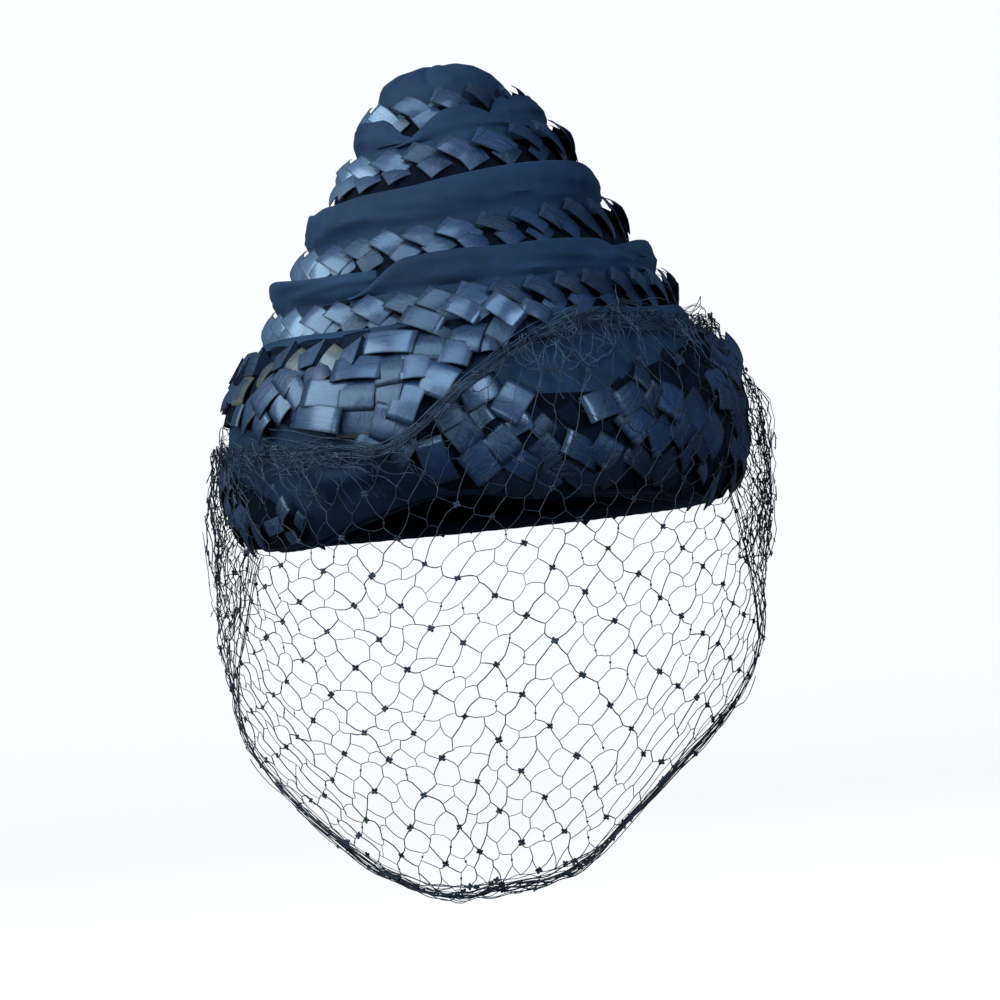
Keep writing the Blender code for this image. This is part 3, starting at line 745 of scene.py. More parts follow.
def closePlan(plan, made, given):
    # every tree ends with its instances made real and its material set
    made = plan.node("GeometryNodeRealizeInstances", {}, {"Geometry": made})
    made = plan.node("GeometryNodeSetMaterial", {}, {"Geometry": made, "Material": given.out("Material")})
    plan.tree.links.new(made.socket, plan.tree.nodes.new("NodeGroupOutput").inputs[0])
    return plan.tree


def makeLayingTree():
    # lays one tile on every point, turned to its surface and its own direction
    plan, given = newGeometryPlan("laid strips", {
        "Strip": "Object", "Size": "Vector", "Wobble": "Float", "Seed": "Int", "Material": "Material",
    })

    def stored(name, kind="FLOAT_VECTOR"):
        return plan.node("GeometryNodeInputNamedAttribute", {"data_type": kind}, {"Name": name})

    upright = plan.node("FunctionNodeAlignRotationToVector", {"axis": "Z"}, {"Vector": stored("facing")})
    turned = plan.node(
        "FunctionNodeAlignRotationToVector", {"axis": "X", "pivot_axis": "Z"},
        {"Rotation": upright, "Vector": stored("running")},
    )
    most = plan.node("ShaderNodeCombineXYZ", {}, {
        "X": given.out("Wobble"), "Y": given.out("Wobble"), "Z": given.out("Wobble") * 1.4,
    })
    least = plan.node("ShaderNodeVectorMath", {"operation": "SCALE"}, {0: most, "Scale": -1.0})
    wobble = plan.node(
        "FunctionNodeRandomValue", {"data_type": "FLOAT_VECTOR"}, {0: least, 1: most, "Seed": given.out("Seed")},
    )
    turned = plan.node(
        "FunctionNodeRotateRotation", {"rotation_space": "LOCAL"},
        {"Rotation": turned, "Rotate By": plan.node("FunctionNodeEulerToRotation", {}, {"Euler": wobble})},
    )
    size = plan.node(
        "ShaderNodeVectorMath", {"operation": "MULTIPLY"}, {0: given.out("Size"), 1: stored("stretch")},
    )
    strip = plan.node("GeometryNodeObjectInfo", {}, {"Object": given.out("Strip"), "As Instance": True}, output=4)
    laid = plan.node("GeometryNodeInstanceOnPoints", {}, {
        "Points": given.out("Geometry"), "Instance": strip, "Rotation": turned, "Scale": size,
    })
    for name, source in (("tone", "shade"), ("wear", "faded")):
        laid = plan.node(
            "GeometryNodeStoreNamedAttribute", {"data_type": "FLOAT", "domain": "INSTANCE"},
            {"Geometry": laid, "Name": name, "Value": stored(source, "FLOAT")},
        )
    return closePlan(plan, laid, given)


def makeThreadTree():
    # gives each chain of edges a round thread of its own thickness
    plan, given = newGeometryPlan("threads", {"Sides": "Int", "Material": "Material"})
    thick = plan.node("GeometryNodeInputNamedAttribute", {"data_type": "FLOAT"}, {"Name": "thick"})
    chain = plan.node("GeometryNodeMeshToCurve", {}, {"Mesh": given.out("Geometry")})
    profile = plan.node(
        "GeometryNodeCurvePrimitiveCircle", {"mode": "RADIUS"}, {"Resolution": given.out("Sides"), "Radius": 1.0},
    )
    thread = plan.node("GeometryNodeCurveToMesh", {}, {
        "Curve": chain, "Profile Curve": profile, "Scale": thick, "Fill Caps": True,
    })
    return closePlan(plan, thread, given)


def runTree(guide, tree, values):
    # applies a tree to a guide and gives back the plain mesh
    modifier = guide.modifiers.new("laid", "NODES")
    modifier.node_group = tree
    for item in tree.interface.items_tree:
        if item.item_type == "SOCKET" and item.in_out == "INPUT" and item.name in values:
            modifier[item.identifier] = values[item.name]
    graph = bpy.context.evaluated_depsgraph_get()
    graph.update()
    mesh = bpy.data.meshes.new_from_object(guide.evaluated_get(graph))
    bpy.data.objects.remove(guide)
    return mesh


layingTree = makeLayingTree()
threadTree = makeThreadTree()


def joined(name, meshes):
    # one mesh of several, with their UV maps and attributes
    parts = [put(name, mesh) for mesh in meshes]
    with bpy.context.temp_override(
        active_object=parts[0], object=parts[0], selected_objects=parts, selected_editable_objects=parts,
    ):
        bpy.ops.object.join()
    mesh = parts[0].data
    bpy.data.objects.remove(parts[0])
    return mesh


def layStrips(name, sites, strip, wobble, seed, material):
    return runTree(siteObject(name, sites), layingTree, {
        "Strip": strip, "Size": (1.0, 1.0, 1.0), "Wobble": math.radians(wobble), "Seed": seed, "Material": material,
    })


# Straw rows of the crown

rows = {
    "pitch": 13.4,              # between the points along a lip
    "upperCorners": ((-3.4, -8.7), (12.2, -8.4), (13.4, -0.6), (0.0, 0.0)),
    "lowerCorners": ((-5.2, -4.4), (5.2, -4.4), (5.2, 4.4), (-5.2, 4.4)),
    "arch": 1.35,
    "dome": 0.35,
    "wall": 0.3,
    "flap": (-2.4, 0.8, -1.8),
    "lean": 0.17,               # how far each strip faces towards the next one
    "lowerTurn": 42.0,
    "lowerDrop": 10.4,
    "backDrop": 5.5,
    "tipLift": 2.2,             # the topmost row climbs across the front
    "tipSink": 3.2,             # and sinks under the cap on the right
    "tipShrink": 0.18,          # where its strips are smaller too
    "leftPaintedShine": 1.2,           # the least tone at the left ends, a painted reflection of the sky; above 1 the strips take the painted pale colour
}
rowSlope = (        # the way the upper strips run, from the horizontal, by angle
    (-180.0, -24.0), (-110.0, -28.0), (-62.0, -36.0), (-25.0, -27.0), (5.0, -25.0), (32.0, -33.0), (62.0, -40.0),
    (110.0, -34.0), (180.0, -24.0),
)
upperStrip = stripMesh(
    "upper strip", rows["upperCorners"], rows["arch"], rows["dome"], 6, 3, rows["wall"], rows["flap"], 0.7,
)
lowerStrip = stripMesh("lower strip", rows["lowerCorners"], rows["arch"] * 0.8, rows["dome"], 4, 3, rows["wall"])


def frameAt(surface, angle, z):
    # a point, and the directions out of the surface, along it to the right, and up it
    at = surface(angle, z)
    along = (surface(angle + 0.6, z) - surface(angle - 0.6, z)).normalized()
    up = (surface(angle, z + 0.6) - surface(angle, z - 0.6)).normalized()
    out = along.cross(up).normalized()
    return at, out, along, out.cross(along)


def wearAndShineShare(angle, most):
    # the dye is worn on the side of the hat that stands on the left in the front view; the same share also raises the
    # tone of the left row ends as a painted reflection
    turned = -signed(angle)
    return most * eased(turned, 34.0, 62.0) * (1.0 - eased(turned, 118.0, 150.0))


def rowSites(ring, random0, upper):
    mean = ring.lip[1] + extraDepth(ring.lip[0]) / 2.0
    count = round(2.0 * math.pi * mean / rows["pitch"])
    sites = []
    for k in range(count):
        angle = 360.0 * (k + (0.0 if upper else 0.52)) / count + random0.uniform(-0.8, 0.8)
        lipZ = ring.lipZ(angle) + random0.uniform(-0.7, 0.5)
        if ring.name == "tip_braid":
            lipZ += rows["tipLift"] * math.sin(math.radians(angle + 25.0))
            lipZ -= rows["tipSink"] * eased(angle, 32.0, 60.0) * (1.0 - eased(angle, 150.0, 200.0))
        z = lipZ if upper else lipZ - rows["lowerDrop"]
        at, _, _, up = frameAt(lambda t, h: ring.point(t, h, 1.0 if upper else 0.1), angle, z - 1.0)
        at = at + up * 1.0
        middle = angle + (math.degrees(5.5 / mean) if upper else 0.0)
        _, out, along, up = frameAt(ring.point, middle, z - 1.0)
        turn = readRows(rowSlope, 1, signed(angle)) if upper else rows["lowerTurn"]
        turn = math.radians(turn + random0.uniform(-4.0, 4.0))
        running = along * math.cos(turn) + up * math.sin(turn)
        size = random0.uniform(0.92, 1.08)
        if ring.name == "tip_braid":
            size *= 1.0 - rows["tipShrink"] * eased(signed(angle), 5.0, 35.0)
        sites.append({
            "at": at, "facing": out + along * rows["lean"] + up * random0.uniform(-0.05, 0.12),
            "running": running, "stretch": (size, size * random0.uniform(0.9, 1.08), 1.0),
            # painted reflection: the left ends of the rows get a high tone, so they are painted paler
            "shade": max(random0.random(), rows["leftPaintedShine"] * wearAndShineShare(angle - 6.0, 1.0)),
            "faded": wearAndShineShare(angle, 0.25 if upper else 0.75),
        })
    return sites


def makeStrawRow(name, seed):
    ring = rings[name]
    random0 = random.Random(seed)
    upper = layStrips(name + " upper", rowSites(ring, random0, True), upperStrip, 4.0, seed, straw)
    lower = layStrips(name + " lower", rowSites(ring, random0, False), lowerStrip, 5.0, seed + 9, straw)
    sections = []
    for i in range(144):
        angle = 2.5 * i
        face = ring.face(angle, 0.5)
        top = face[2][0] - rows["backDrop"]
        topA = straightRows(face, top)
        wall = ring.wall - 0.5
        half = ((face[0][0] + face[1][0]) / 2.0, (face[0][1] + face[1][1]) / 2.0)
        outline = [ring.spreadFoot(angle), half, face[1], (top, topA), (top, topA - wall)]
        outline += [(face[1][0], face[1][1] - wall), (face[0][0], face[0][1] - wall)]
        sections.append([onOval(angle, a, z) for z, a in outline])
    finish(name + "_plait", joined(name, [upper, lower]), name, smooth=False)
    # the back shell under the row's strips is painted dark as shade
    finish(name + "_back", sweep(sections, True), name, strawBackPaintedShade)


for seed, rowName in enumerate(("braid_row_3", "braid_row_2", "braid_row_1", "tip_braid")):
    makeStrawRow(rowName, 20 + seed)
print("crown made")

# Cuff

rimArch = (
    (-180.0, 0.0), (-110.0, -1.0), (-75.0, -3.0), (-51.0, -2.5), (-34.0, 3.5), (-24.0, 7.0), (-12.0, 10.5),
    (-1.0, 10.0), (11.0, 7.0), (25.0, 6.0), (42.0, 4.5), (59.0, 2.0), (75.0, 1.0), (110.0, 0.5), (180.0, 0.0),
)
leftBand = (    # angle, lower edge, upper edge
    (-240.0, 59.0, 62.0), (-210.0, 53.0, 62.0), (-180.0, 46.0, 62.0), (-150.0, 42.0, 62.0), (-120.0, 40.0, 62.0),
    (-90.0, 40.5, 62.5), (-63.0, 38.5, 65.0), (-47.0, 36.0, 64.5), (-36.0, 33.0, 63.5), (-28.0, 28.5, 63.5),
    (-21.0, 24.0, 64.0), (-15.0, 26.0, 65.0), (-9.0, 36.5, 66.5), (-3.0, 45.5, 66.5), (3.0, 53.0, 67.5),
    (10.0, 60.5, 68.5), (17.0, 66.0, 69.0),
)
rightBand = (
    (-15.5, 13.0, 17.0), (-12.0, -1.0, 23.5), (-8.0, -6.5, 27.0), (-2.0, -6.5, 33.5), (8.0, -6.5, 36.0),
    (17.0, -6.5, 35.5), (26.0, -6.5, 35.5), (36.0, -6.5, 41.0), (56.0, -6.5, 51.0), (75.0, -6.5, 58.5),
    (95.0, -6.5, 61.0), (120.0, -6.5, 56.0), (150.0, -6.5, 49.0), (180.0, -6.5, 42.0), (210.0, -6.5, 37.0),
    (240.0, -6.5, 32.0), (270.0, -6.5, 28.0), (290.0, -6.5, 19.0), (306.0, -6.5, 9.0), (313.0, -6.5, 1.0),
)
cuff = {
    "columns": 300,
    "puff": 3.0,
    "puffFrom": 9.0,
    "puffReach": 15.0,
    "wrinkle": 1.1,
    "bindingWidth": 5.0,
    "bindingHeight": 6.5,
}


def rimLift(angle, z):
    return readRows(rimArch, 1, signed(angle)) * (1.0 - eased(z, cuffOuter[1][0], shared["rimArchTop"]))


def cuffFace(angle, z, out=0.0):
    a = readRows(cuffOuter[1:] + (cuffShoulder,), 1, z)
    return onOval(angle, a + out, z + rimLift(angle, z))


def bandEdges(band, angle):
    turned = angle
    while turned < band[0][0]:
        turned += 360.0
    while turned > band[-1][0]:
        turned -= 360.0
    if turned < band[0][0]:
        return None
    return readRows(band, 1, turned), readRows(band, 2, turned)


def bareDistance(angle, z):
    nearest = min(z - cuffOuter[1][0], cuffOuter[-1][0] - z)
    for band in (leftBand, rightBand):
        for aside in (-9.0, 0.0, 9.0):
            edges = bandEdges(band, angle + aside)
            if edges:
                nearest = min(nearest, max(edges[0] - z, z - edges[1]))
    return max(0.0, nearest)


def smoothPath(points, steps):
    # points on a smooth open curve through (z, a) points
    made = []
    for i in range(len(points) - 1):
        p0, p1, p2, p3 = (points[min(max(k, 0), len(points) - 1)] for k in (i - 1, i, i + 1, i + 2))
        for k in range(steps):
            t = k / steps
            made.append(tuple(
                0.5 * (2 * b + (c - a) * t + (2 * a - 5 * b + 4 * c - d) * t * t + (3 * b - a - 3 * c + d) * t ** 3)
                for a, b, c, d in zip(p0, p1, p2, p3)
            ))
    return made + [points[-1]]


def makeCuffCloth():
    outer = smoothPath(cuffOuter, 4)
    inner = smoothPath(cuffInner[::-1], 2)
    sections = []
    for i in range(cuff["columns"]):
        angle = 360.0 * i / cuff["columns"]
        along = math.radians(angle) * 105.0
        section = []
        for z, a in outer:
            bare = bareDistance(angle, z)
            shown = eased(bare, 1.0, 8.0)
            soft = wave(along * 0.42, 0.0, z * 1.5, 15.0, 2.0) * cuff["wrinkle"]
            line = abs(wave(along * 0.22, 9.0, z * 1.8 + along * 0.12, 17.0, 4.0))
            crease = -0.9 * (1.0 - min(1.0, line / 0.10)) ** 2
            a += cuff["puff"] * eased(bare, cuff["puffFrom"], cuff["puffReach"]) + shown * (soft + crease)
            section.append((z, a))
        section += inner
        sections.append([onOval(angle, a, z + rimLift(angle, z)) for z, a in section])
    finish("cuff_cloth_fold", sweep(sections, True), "cuff_cloth", clothTwill)


def makeRimBinding():
    # a rolled bias edge just inside the hem
    centreA = cuffOuter[0][1] - 0.35 - cuff["bindingWidth"] / 2.0
    centreZ = (cuffOuter[0][0] + cuffInner[0][0]) / 2.0
    sections = []
    for i in range(240):
        angle = 1.5 * i
        lift = rimLift(angle, centreZ)
        pinch = 1.0 - 0.06 * (0.5 + 0.5 * math.sin(math.radians(angle * 60.0)))
        section = []
        for k in range(14):
            roll = 2.0 * math.pi * k / 14
            a = centreA + cuff["bindingWidth"] / 2.0 * math.cos(roll) * pinch
            z = centreZ + cuff["bindingHeight"] / 2.0 * math.sin(roll) * pinch
            section.append(onOval(angle, a, z + lift))
        sections.append(section)
    finish("rim_binding_roll", sweep(sections, True), "rim_binding", clothTwill)


makeCuffCloth()
makeRimBinding()
print("cuff cloth made")

weave = {
    "meanRadius": 107.0,
    "left": {
        "band": leftBand, "alongPitch": 13.6, "acrossPitch": 9.4, "slant": 0.0, "from": (0.0, 4.0),
        "flatSize": (17.2, 9.6), "standSize": (12.6, 12.0), "inside": 2.2, "out": 3.0, "placed": (-62.0, 30.0),
        "tilt": 0.15,
    },
    "right": {
        "band": rightBand, "alongPitch": 10.8, "acrossPitch": 10.6, "slant": 38.0, "from": (3.0, 2.0),
        "flatSize": (14.2, 10.2), "standSize": (13.8, 10.2), "inside": 2.8, "out": 3.0, "placed": (-17.0, 68.0),
        "tilt": 0.30,
    },
    "arch": 1.7,
    "placedSize": 1.10,
    "placedOut": 2.6,
    "placedLift": 0.6,          # how much further out one step of raising puts a strip
    "placedWear": 0.14,         # added wear on the left band
    "underOut": 0.9,            # how far out the dull layer under placed strips lies, painted dark as shade
    "rightEnd": 292.0,          # where the even weave of the right band ends
    "tentSpacing": 17.0,        # between the folded points along the left band's upper edge
    "tentSize": (17.0, 12.0, 8.0),
}
# strips of the front that don't keep to the even weave:
# angle, height, turn, length, width, how far raised (which also sets the tone, so lower strips get painted shade), how
# far the dye is worn
placedLeft = (
    (-19.2, 59.9, -10, 21.0, 8.8, 1.3, 0), (-9.9, 57.0, 83, 11.7, 11.9, 0.0, 0),
    (-3.6, 53.2, -21, 11.4, 9.5, 1.0, 0), (-10.9, 67.1, -25, 15.2, 7.5, 0.6, 0),
    (-0.7, 58.9, 71, 12.5, 11.1, 0.2, 0), (7.0, 60.4, 52, 12.0, 8.5, 0.2, 0),
    (3.6, 55.1, 6, 7.4, 5.4, 0.8, 0), (-7.3, 43.7, 56, 12.7, 11.7, 2.0, 0),
    (-14.3, 37.3, 69, 15.4, 10.6, 1.0, 0), (-18.1, 49.9, 92, 12.6, 10.7, 0.0, 0),
    (-12.2, 49.5, 2, 12.1, 9.5, 1.0, 0), (-18.4, 40.7, 85, 11.4, 10.6, 0.0, 0.6),
    (-25.5, 42.5, 93, 13.3, 13.7, 0.0, 0), (-25.9, 51.4, -2, 19.2, 9.7, 1.2, 0),
    (-33.1, 43.6, -7, 20.9, 9.7, 1.2, 0), (-35.6, 35.6, -10, 27.9, 8.9, 0.8, 0),
    (-25.5, 32.5, 81, 11.7, 14.7, 0.2, 0.6), (-19.4, 30.6, 68, 13.1, 8.8, 0.6, 0),
    (-16.2, 26.4, 52, 9.6, 7.7, 0.3, 0), (-1.0, 69.6, -35, 13.2, 7.5, 1.0, 0),
    (8.6, 67.8, -49, 14.4, 7.9, 1.0, 0), (16.0, 66.5, -27, 11.1, 6.0, 0.6, 0),
    (3.4, 68.2, 32, 10.8, 4.8, -0.3, 0), (-7.0, 61.9, -34, 13.7, 4.1, -0.5, 0),
    (-45.6, 52.7, 53, 13.0, 13.0, 0.6, 0), (-37.1, 51.1, 33, 12.0, 10.8, 0.4, 0),
    (-52.5, 47.0, 53, 14.3, 11.9, 0.6, 0), (-42.2, 45.8, 43, 8.7, 10.6, 0.4, 0.4),
    (-46.0, 41.3, 46, 10.5, 8.5, 0.6, 0), (-58.1, 42.0, 44, 13.4, 11.7, 0.4, 0),
    (-53.0, 36.3, 49, 11.0, 9.2, 0.5, 0), (-22.7, 23.6, -16, 12.3, 4.4, 0.0, 0),
    (-44.5, 56.8, 60, 11.0, 9.0, 0.2, 0.9), (-33.6, 55.6, 62, 11.5, 9.0, 0.2, 0.9),
    (-56.0, 55.2, 64, 11.0, 9.0, 0.2, 0.8),
)
placedRight = (
    (0.7, 39.3, 24, 14.7, 10.2, 1.2, 0), (7.3, 33.4, 49, 14.2, 10.9, 0.8, 0),
    (-5.1, 31.1, 27, 13.8, 8.1, 0.0, 0), (0.5, 29.0, 30, 8.0, 6.6, 0.2, 0),
    (-3.4, 22.9, -55, 12.4, 10.2, 0.0, 0), (-9.4, 8.8, -73, 16.7, 10.4, 1.0, 0),
    (-0.1, 6.4, 39, 12.8, 12.2, 1.2, 0), (4.5, 16.3, -52, 11.8, 9.4, 0.0, 0),
    (8.0, 24.4, 23, 9.6, 5.8, 0.8, 0), (7.9, 6.2, -29, 13.0, 9.0, 0.8, 0),
    (13.1, 10.9, 40, 10.9, 10.1, 0.3, 0), (20.7, 10.8, -32, 15.7, 8.8, 0.6, 0),
    (26.2, 9.6, 62, 10.3, 10.6, 0.8, 0), (17.8, 3.6, 9, 14.6, 6.5, -0.4, 0),
    (26.2, 29.8, 12, 16.4, 9.9, 1.0, 0), (33.8, 32.4, 24, 17.3, 9.1, 0.2, 0),
    (33.6, 23.0, 37, 14.6, 12.7, 1.0, 0), (39.1, 29.8, -47, 10.6, 11.1, 0.2, 0),
    (43.7, 30.2, 53, 14.1, 10.9, 1.0, 0), (40.1, 16.9, 29, 15.9, 11.0, 0.8, 0),
    (50.3, 24.1, 37, 17.6, 12.5, 0.8, 0), (57.4, 18.0, 42, 16.3, 14.4, 0.6, 0),
    (48.8, 9.0, 52, 12.6, 9.0, 1.0, 0), (54.8, 3.3, 53, 10.9, 8.5, 1.2, 0),
    (63.4, -2.6, 32, 15.2, 13.3, 1.0, 0), (45.5, 19.3, -47, 13.3, 10.1, -0.2, 0),
    (52.3, 13.8, -40, 14.4, 11.6, -0.3, 0), (37.1, 40.1, 49, 11.5, 7.1, 0.4, 0),
    (74.9, 39.9, -45, 14.0, 32.2, 1.4, 0), (62.3, 36.9, -81, 9.1, 11.3, 1.0, 0),
    (66.4, 30.4, -3, 28.2, 8.0, 0.5, 0), (50.2, 45.1, 11, 10.7, 3.6, 1.0, 0),
    (6.2, -2.8, -36, 12.3, 7.7, -0.4, 0), (12.3, -2.4, 49, 11.4, 10.1, -0.4, 0),
    (21.1, -1.1, -35, 16.1, 7.6, -0.5, 0), (28.6, 0.1, 38, 11.2, 9.1, -0.5, 0),
    (35.4, 4.9, -30, 15.2, 7.7, -0.6, 0), (42.8, 2.3, 38, 11.8, 10.2, -0.6, 0),
    (13.3, 21.4, -48, 9.7, 7.4, -0.8, 0), (2.7, -2.0, 46, 10.4, 7.9, -0.3, 0),
    (-15.8, 16.3, 48, 11.5, 5.9, 0.4, 0), (-49.6, 4.9, 36, 9.5, 6.8, 0.6, 0),
    (-55.0, 0.8, 2, 12.0, 5.5, 0.8, 0.2), (-51.0, -3.9, -3, 12.2, 5.1, 0.4, 0),
    (-45.6, -0.3, 35, 8.8, 4.2, 0.5, 0), (-64.3, -0.1, -23, 10.6, 10.8, 0.3, 0),
    (-71.7, 6.5, 15, 11.0, 9.0, 0.5, 0), (-70.7, 12.4, 26, 11.0, 9.0, 0.5, 0),
)
tents = ((-27.7, 57.8), (-38.5, 59.6), (-48.9, 60.8), (-61.0, 60.6), (-71.0, 58.6))    # angle, height of their middle
weaveStrip = stripMesh(
    "weave strip", ((-0.5, -0.5), (0.5, -0.5), (0.5, 0.5), (-0.5, 0.5)), 1.0, 0.18, 6, 3, 0.25,
)
bandSeat = ((64.0, 87.2), (70.0, 85.6), (76.0, 82.8), (84.0, 79.2))     # the band leans on the crown up here


def bandFace(angle, z, out=0.0):
    if z <= bandSeat[0][0]:
        return cuffFace(angle, z, out)
    return onOval(angle, readRows(bandSeat, 1, z) + out, z)


def tentMesh(name, corners):
    # one face of a strip that is folded over the edge of the plait
    low0, low1, high1, high0 = (Vector(c) for c in corners)
    bm = bmesh.new()
    uvLayer = bm.loops.layers.uv.new("stripUv")

    def faceAt(u, v):
        point = low0.lerp(low1, u).lerp(high0.lerp(high1, u), v)
        point.z += 0.05 * math.sin(math.pi * u) * math.sin(math.pi * v)
        return point

    thinPatch(bm, uvLayer, faceAt, 3, 3, 0.03, lambda u, v: (v, u))
    bmesh.ops.recalc_face_normals(bm, faces=bm.faces)
    mesh = closed(bm, name)
    smoothed(mesh, 40.0)
    return tileOf(name, mesh)


# the lit face up to a sharp fold, and the narrow face behind that, painted dark as its shade
tentStrip = tentMesh(
    "tent strip", ((-0.42, -0.50, 0.00), (0.10, -0.50, 0.34), (0.20, 0.50, 0.26), (-0.52, 0.05, -0.02)),
)
tentShadedSide = tentMesh(
    "tent side", ((0.10, -0.50, 0.34), (0.30, -0.42, -0.20), (0.46, 0.02, -0.20), (0.20, 0.50, 0.26)),
)


def weaveSite(angle, z, out, turn, size, random0, faded, tilt=0.13):
    at, outward, along, rise = frameAt(lambda t, h: bandFace(t, h, out), angle, z)
    return {
        "at": at,
        "facing": outward + along * random0.uniform(-tilt, tilt) + rise * random0.uniform(-tilt * 0.4, tilt),
        "running": along * math.cos(turn) + rise * math.sin(turn),
        "stretch": size, "shade": random0.random(), "faded": faded,
    }


def weaveSites(plan, random0):
    # squares of the weave: strips that lie flat and strips that stand take turns on top,
    # and where strips are placed one by one these lie under them, dull side out, painted dark as shade
    band = plan["band"]
    slant = math.radians(plan["slant"])
    reach = math.radians(band[-1][0] - band[0][0]) * weave["meanRadius"]
    first = math.radians(band[0][0]) * weave["meanRadius"]
    sites, unders = [], []
    span = int((reach + 140.0) / min(plan["alongPitch"], plan["acrossPitch"])) + 4
    for i in range(-span, span):
        for j in range(-span, span):
            aside = i * plan["alongPitch"] + plan["from"][0]
            up = j * plan["acrossPitch"] + plan["from"][1]
            s = first + aside * math.cos(slant) - up * math.sin(slant)
            z = aside * math.sin(slant) + up * math.cos(slant)
            angle = math.degrees(s / weave["meanRadius"])
            if not band[0][0] <= angle <= band[-1][0]:
                continue
            if band is rightBand and angle > weave["rightEnd"]:
                continue
            low, high = bandEdges(band, angle)
            if not low + plan["inside"] <= z <= high - plan["inside"]:
                continue
            flat = (i + j) % 2 == 0
            turn = slant + (0.0 if flat else math.pi / 2.0) + math.radians(random0.uniform(-6.0, 6.0))
            length, width = plan["flatSize"] if flat else plan["standSize"]
            size = (length * random0.uniform(0.94, 1.06), width * random0.uniform(0.90, 1.0), weave["arch"])
            faded = wearAndShineShare(angle, 0.55) + (0.35 if random0.random() < 0.06 else 0.0)
            out = plan["out"] + random0.uniform(-0.4, 0.5)
            under = plan["placed"][0] <= angle <= plan["placed"][1]
            if under:
                unders.append(weaveSite(angle, z, weave["underOut"], turn, size, random0, 0.0, 0.0))
            else:
                sites.append(weaveSite(angle, z, out, turn, size, random0, faded, plan["tilt"]))
    return sites, unders


def placedSites(table, random0, tilt):
    sites = []
    for angle, z, turn, length, width, lift, worn in table:
        size = (length * weave["placedSize"], width * weave["placedSize"], weave["arch"] * (0.7 + length / 40.0))
        out = weave["placedOut"] + weave["placedLift"] * lift
        site = weaveSite(angle, z, out, math.radians(turn), size, random0, worn, tilt)
        # painted shade: strips that sit lower get a lower tone, so they are painted darker and less glossy
        site["shade"] = min(1.0, max(0.0, 0.25 + 0.5 * lift + random0.uniform(-0.2, 0.2)))
        if table is placedLeft:
            site["faded"] += weave["placedWear"]
        sites.append(site)
    return sites


def tentSites(random0):
    # folded points along the upper edge of the left band, on round the back
    places = list(tents)
    angle = tents[-1][0]
    while angle > leftBand[0][0] + 8.0:
        angle -= math.degrees(weave["tentSpacing"] / weave["meanRadius"]) * random0.uniform(0.92, 1.08)
        places.append((angle, readRows(leftBand, 2, angle) - 3.4))
    sites = []
    for angle, z in places:
        size = [c * random0.uniform(0.93, 1.07) for c in weave["tentSize"]]
        turn = math.radians(random0.uniform(-7.0, 7.0))
        sites.append(weaveSite(angle, z, 3.4, turn, size, random0, wearAndShineShare(angle, 0.3)))
    return sites


def makeBandBack(name, band):
    # the plait's plain back, dull and painted dark as the shade that shows between the strips
    count = round((band[-1][0] - band[0][0]) / 2.0)
    sections = []
    for i in range(count + 1):
        angle = band[0][0] + (band[-1][0] - band[0][0]) * i / count
        low, high = readRows(band, 1, angle), readRows(band, 2, angle)
        steps = 8
        heights = [low + (high - low) * k / steps for k in range(steps + 1)]
        front = [cuffFace(angle, z, shared["bandClearance"] + 1.0) for z in heights]
        rear = [cuffFace(angle, z, shared["bandClearance"]) for z in heights[::-1]]
        sections.append(front + rear)
    back = sweep(sections, False)
    finish(name + "_back", back, name, strawBackPaintedShade)


for name, key, table, seed in (
    ("cuff_braid_left", "left", placedLeft, 41), ("cuff_braid_right", "right", placedRight, 42),
):
    random0 = random.Random(seed)
    sites, unders = weaveSites(weave[key], random0)
    sites += placedSites(table, random0, weave[key]["tilt"])
    meshes = [layStrips(name, sites, weaveStrip, 3.0, seed, straw)]
    # the layer under the placed strips is painted dark as shade
    meshes.append(layStrips(name + " under", unders, weaveStrip, 3.0, seed, strawBackPaintedShade))
    if key == "left":
        points = tentSites(random0)
        meshes.append(layStrips(name + " points", points, tentStrip, 4.0, seed, straw))
        # the narrow faces of the points take the dark back colour as painted shade
        meshes.append(layStrips(name + " sides", points, tentShadedSide, 4.0, seed, strawBackPaintedShade))
    finish(name + "_plait", joined(name, meshes), name, smooth=False)
    makeBandBack(name, weave[key]["band"])
print("straw bands made")

# Veil

gatherLine = (      # angle, height, distance out from the cuff cloth
    (-112.0, 32.0, 2.6), (-90.0, 31.0, 2.6), (-66.0, 29.0, 2.6), (-47.0, 26.5, 2.6), (-36.0, 24.5, 2.8),
    (-28.0, 22.5, 3.4), (-21.0, 19.0, 6.2), (-15.0, 23.0, 7.6), (-9.0, 31.5, 7.6), (-3.0, 41.0, 7.6),
    (3.0, 47.5, 6.8), (10.0, 55.0, 4.6), (18.0, 61.0, 2.8), (29.0, 65.5, 2.4), (42.0, 65.0, 2.6),
    (58.0, 62.5, 2.6), (75.0, 63.5, 3.0), (90.0, 65.5, 5.0), (112.0, 62.0, 6.6),
)
veilShape = (       # height, half width, half depth
    (-150.0, 54.0, 101.0), (-120.0, 80.0, 115.0), (-90.0, 97.0, 122.0), (-60.0, 105.0, 125.0),
    (-25.0, 107.5, 126.0), (10.0, 110.0, 126.5), (36.0, 108.5, 124.0), (60.0, 99.5, 114.0), (74.0, 95.0, 108.0),
)
veilHem = (
    (-118.0, -6.0), (-108.0, -32.0), (-95.0, -60.0), (-80.0, -80.0), (-63.0, -101.0), (-52.0, -117.0),
    (-40.0, -132.0), (-20.0, -141.0), (0.0, -140.0), (18.0, -138.0), (30.0, -132.0), (38.0, -119.0),
    (50.0, -101.0), (75.0, -72.0), (95.0, -48.0), (108.0, -18.0), (118.0, 10.0),
)
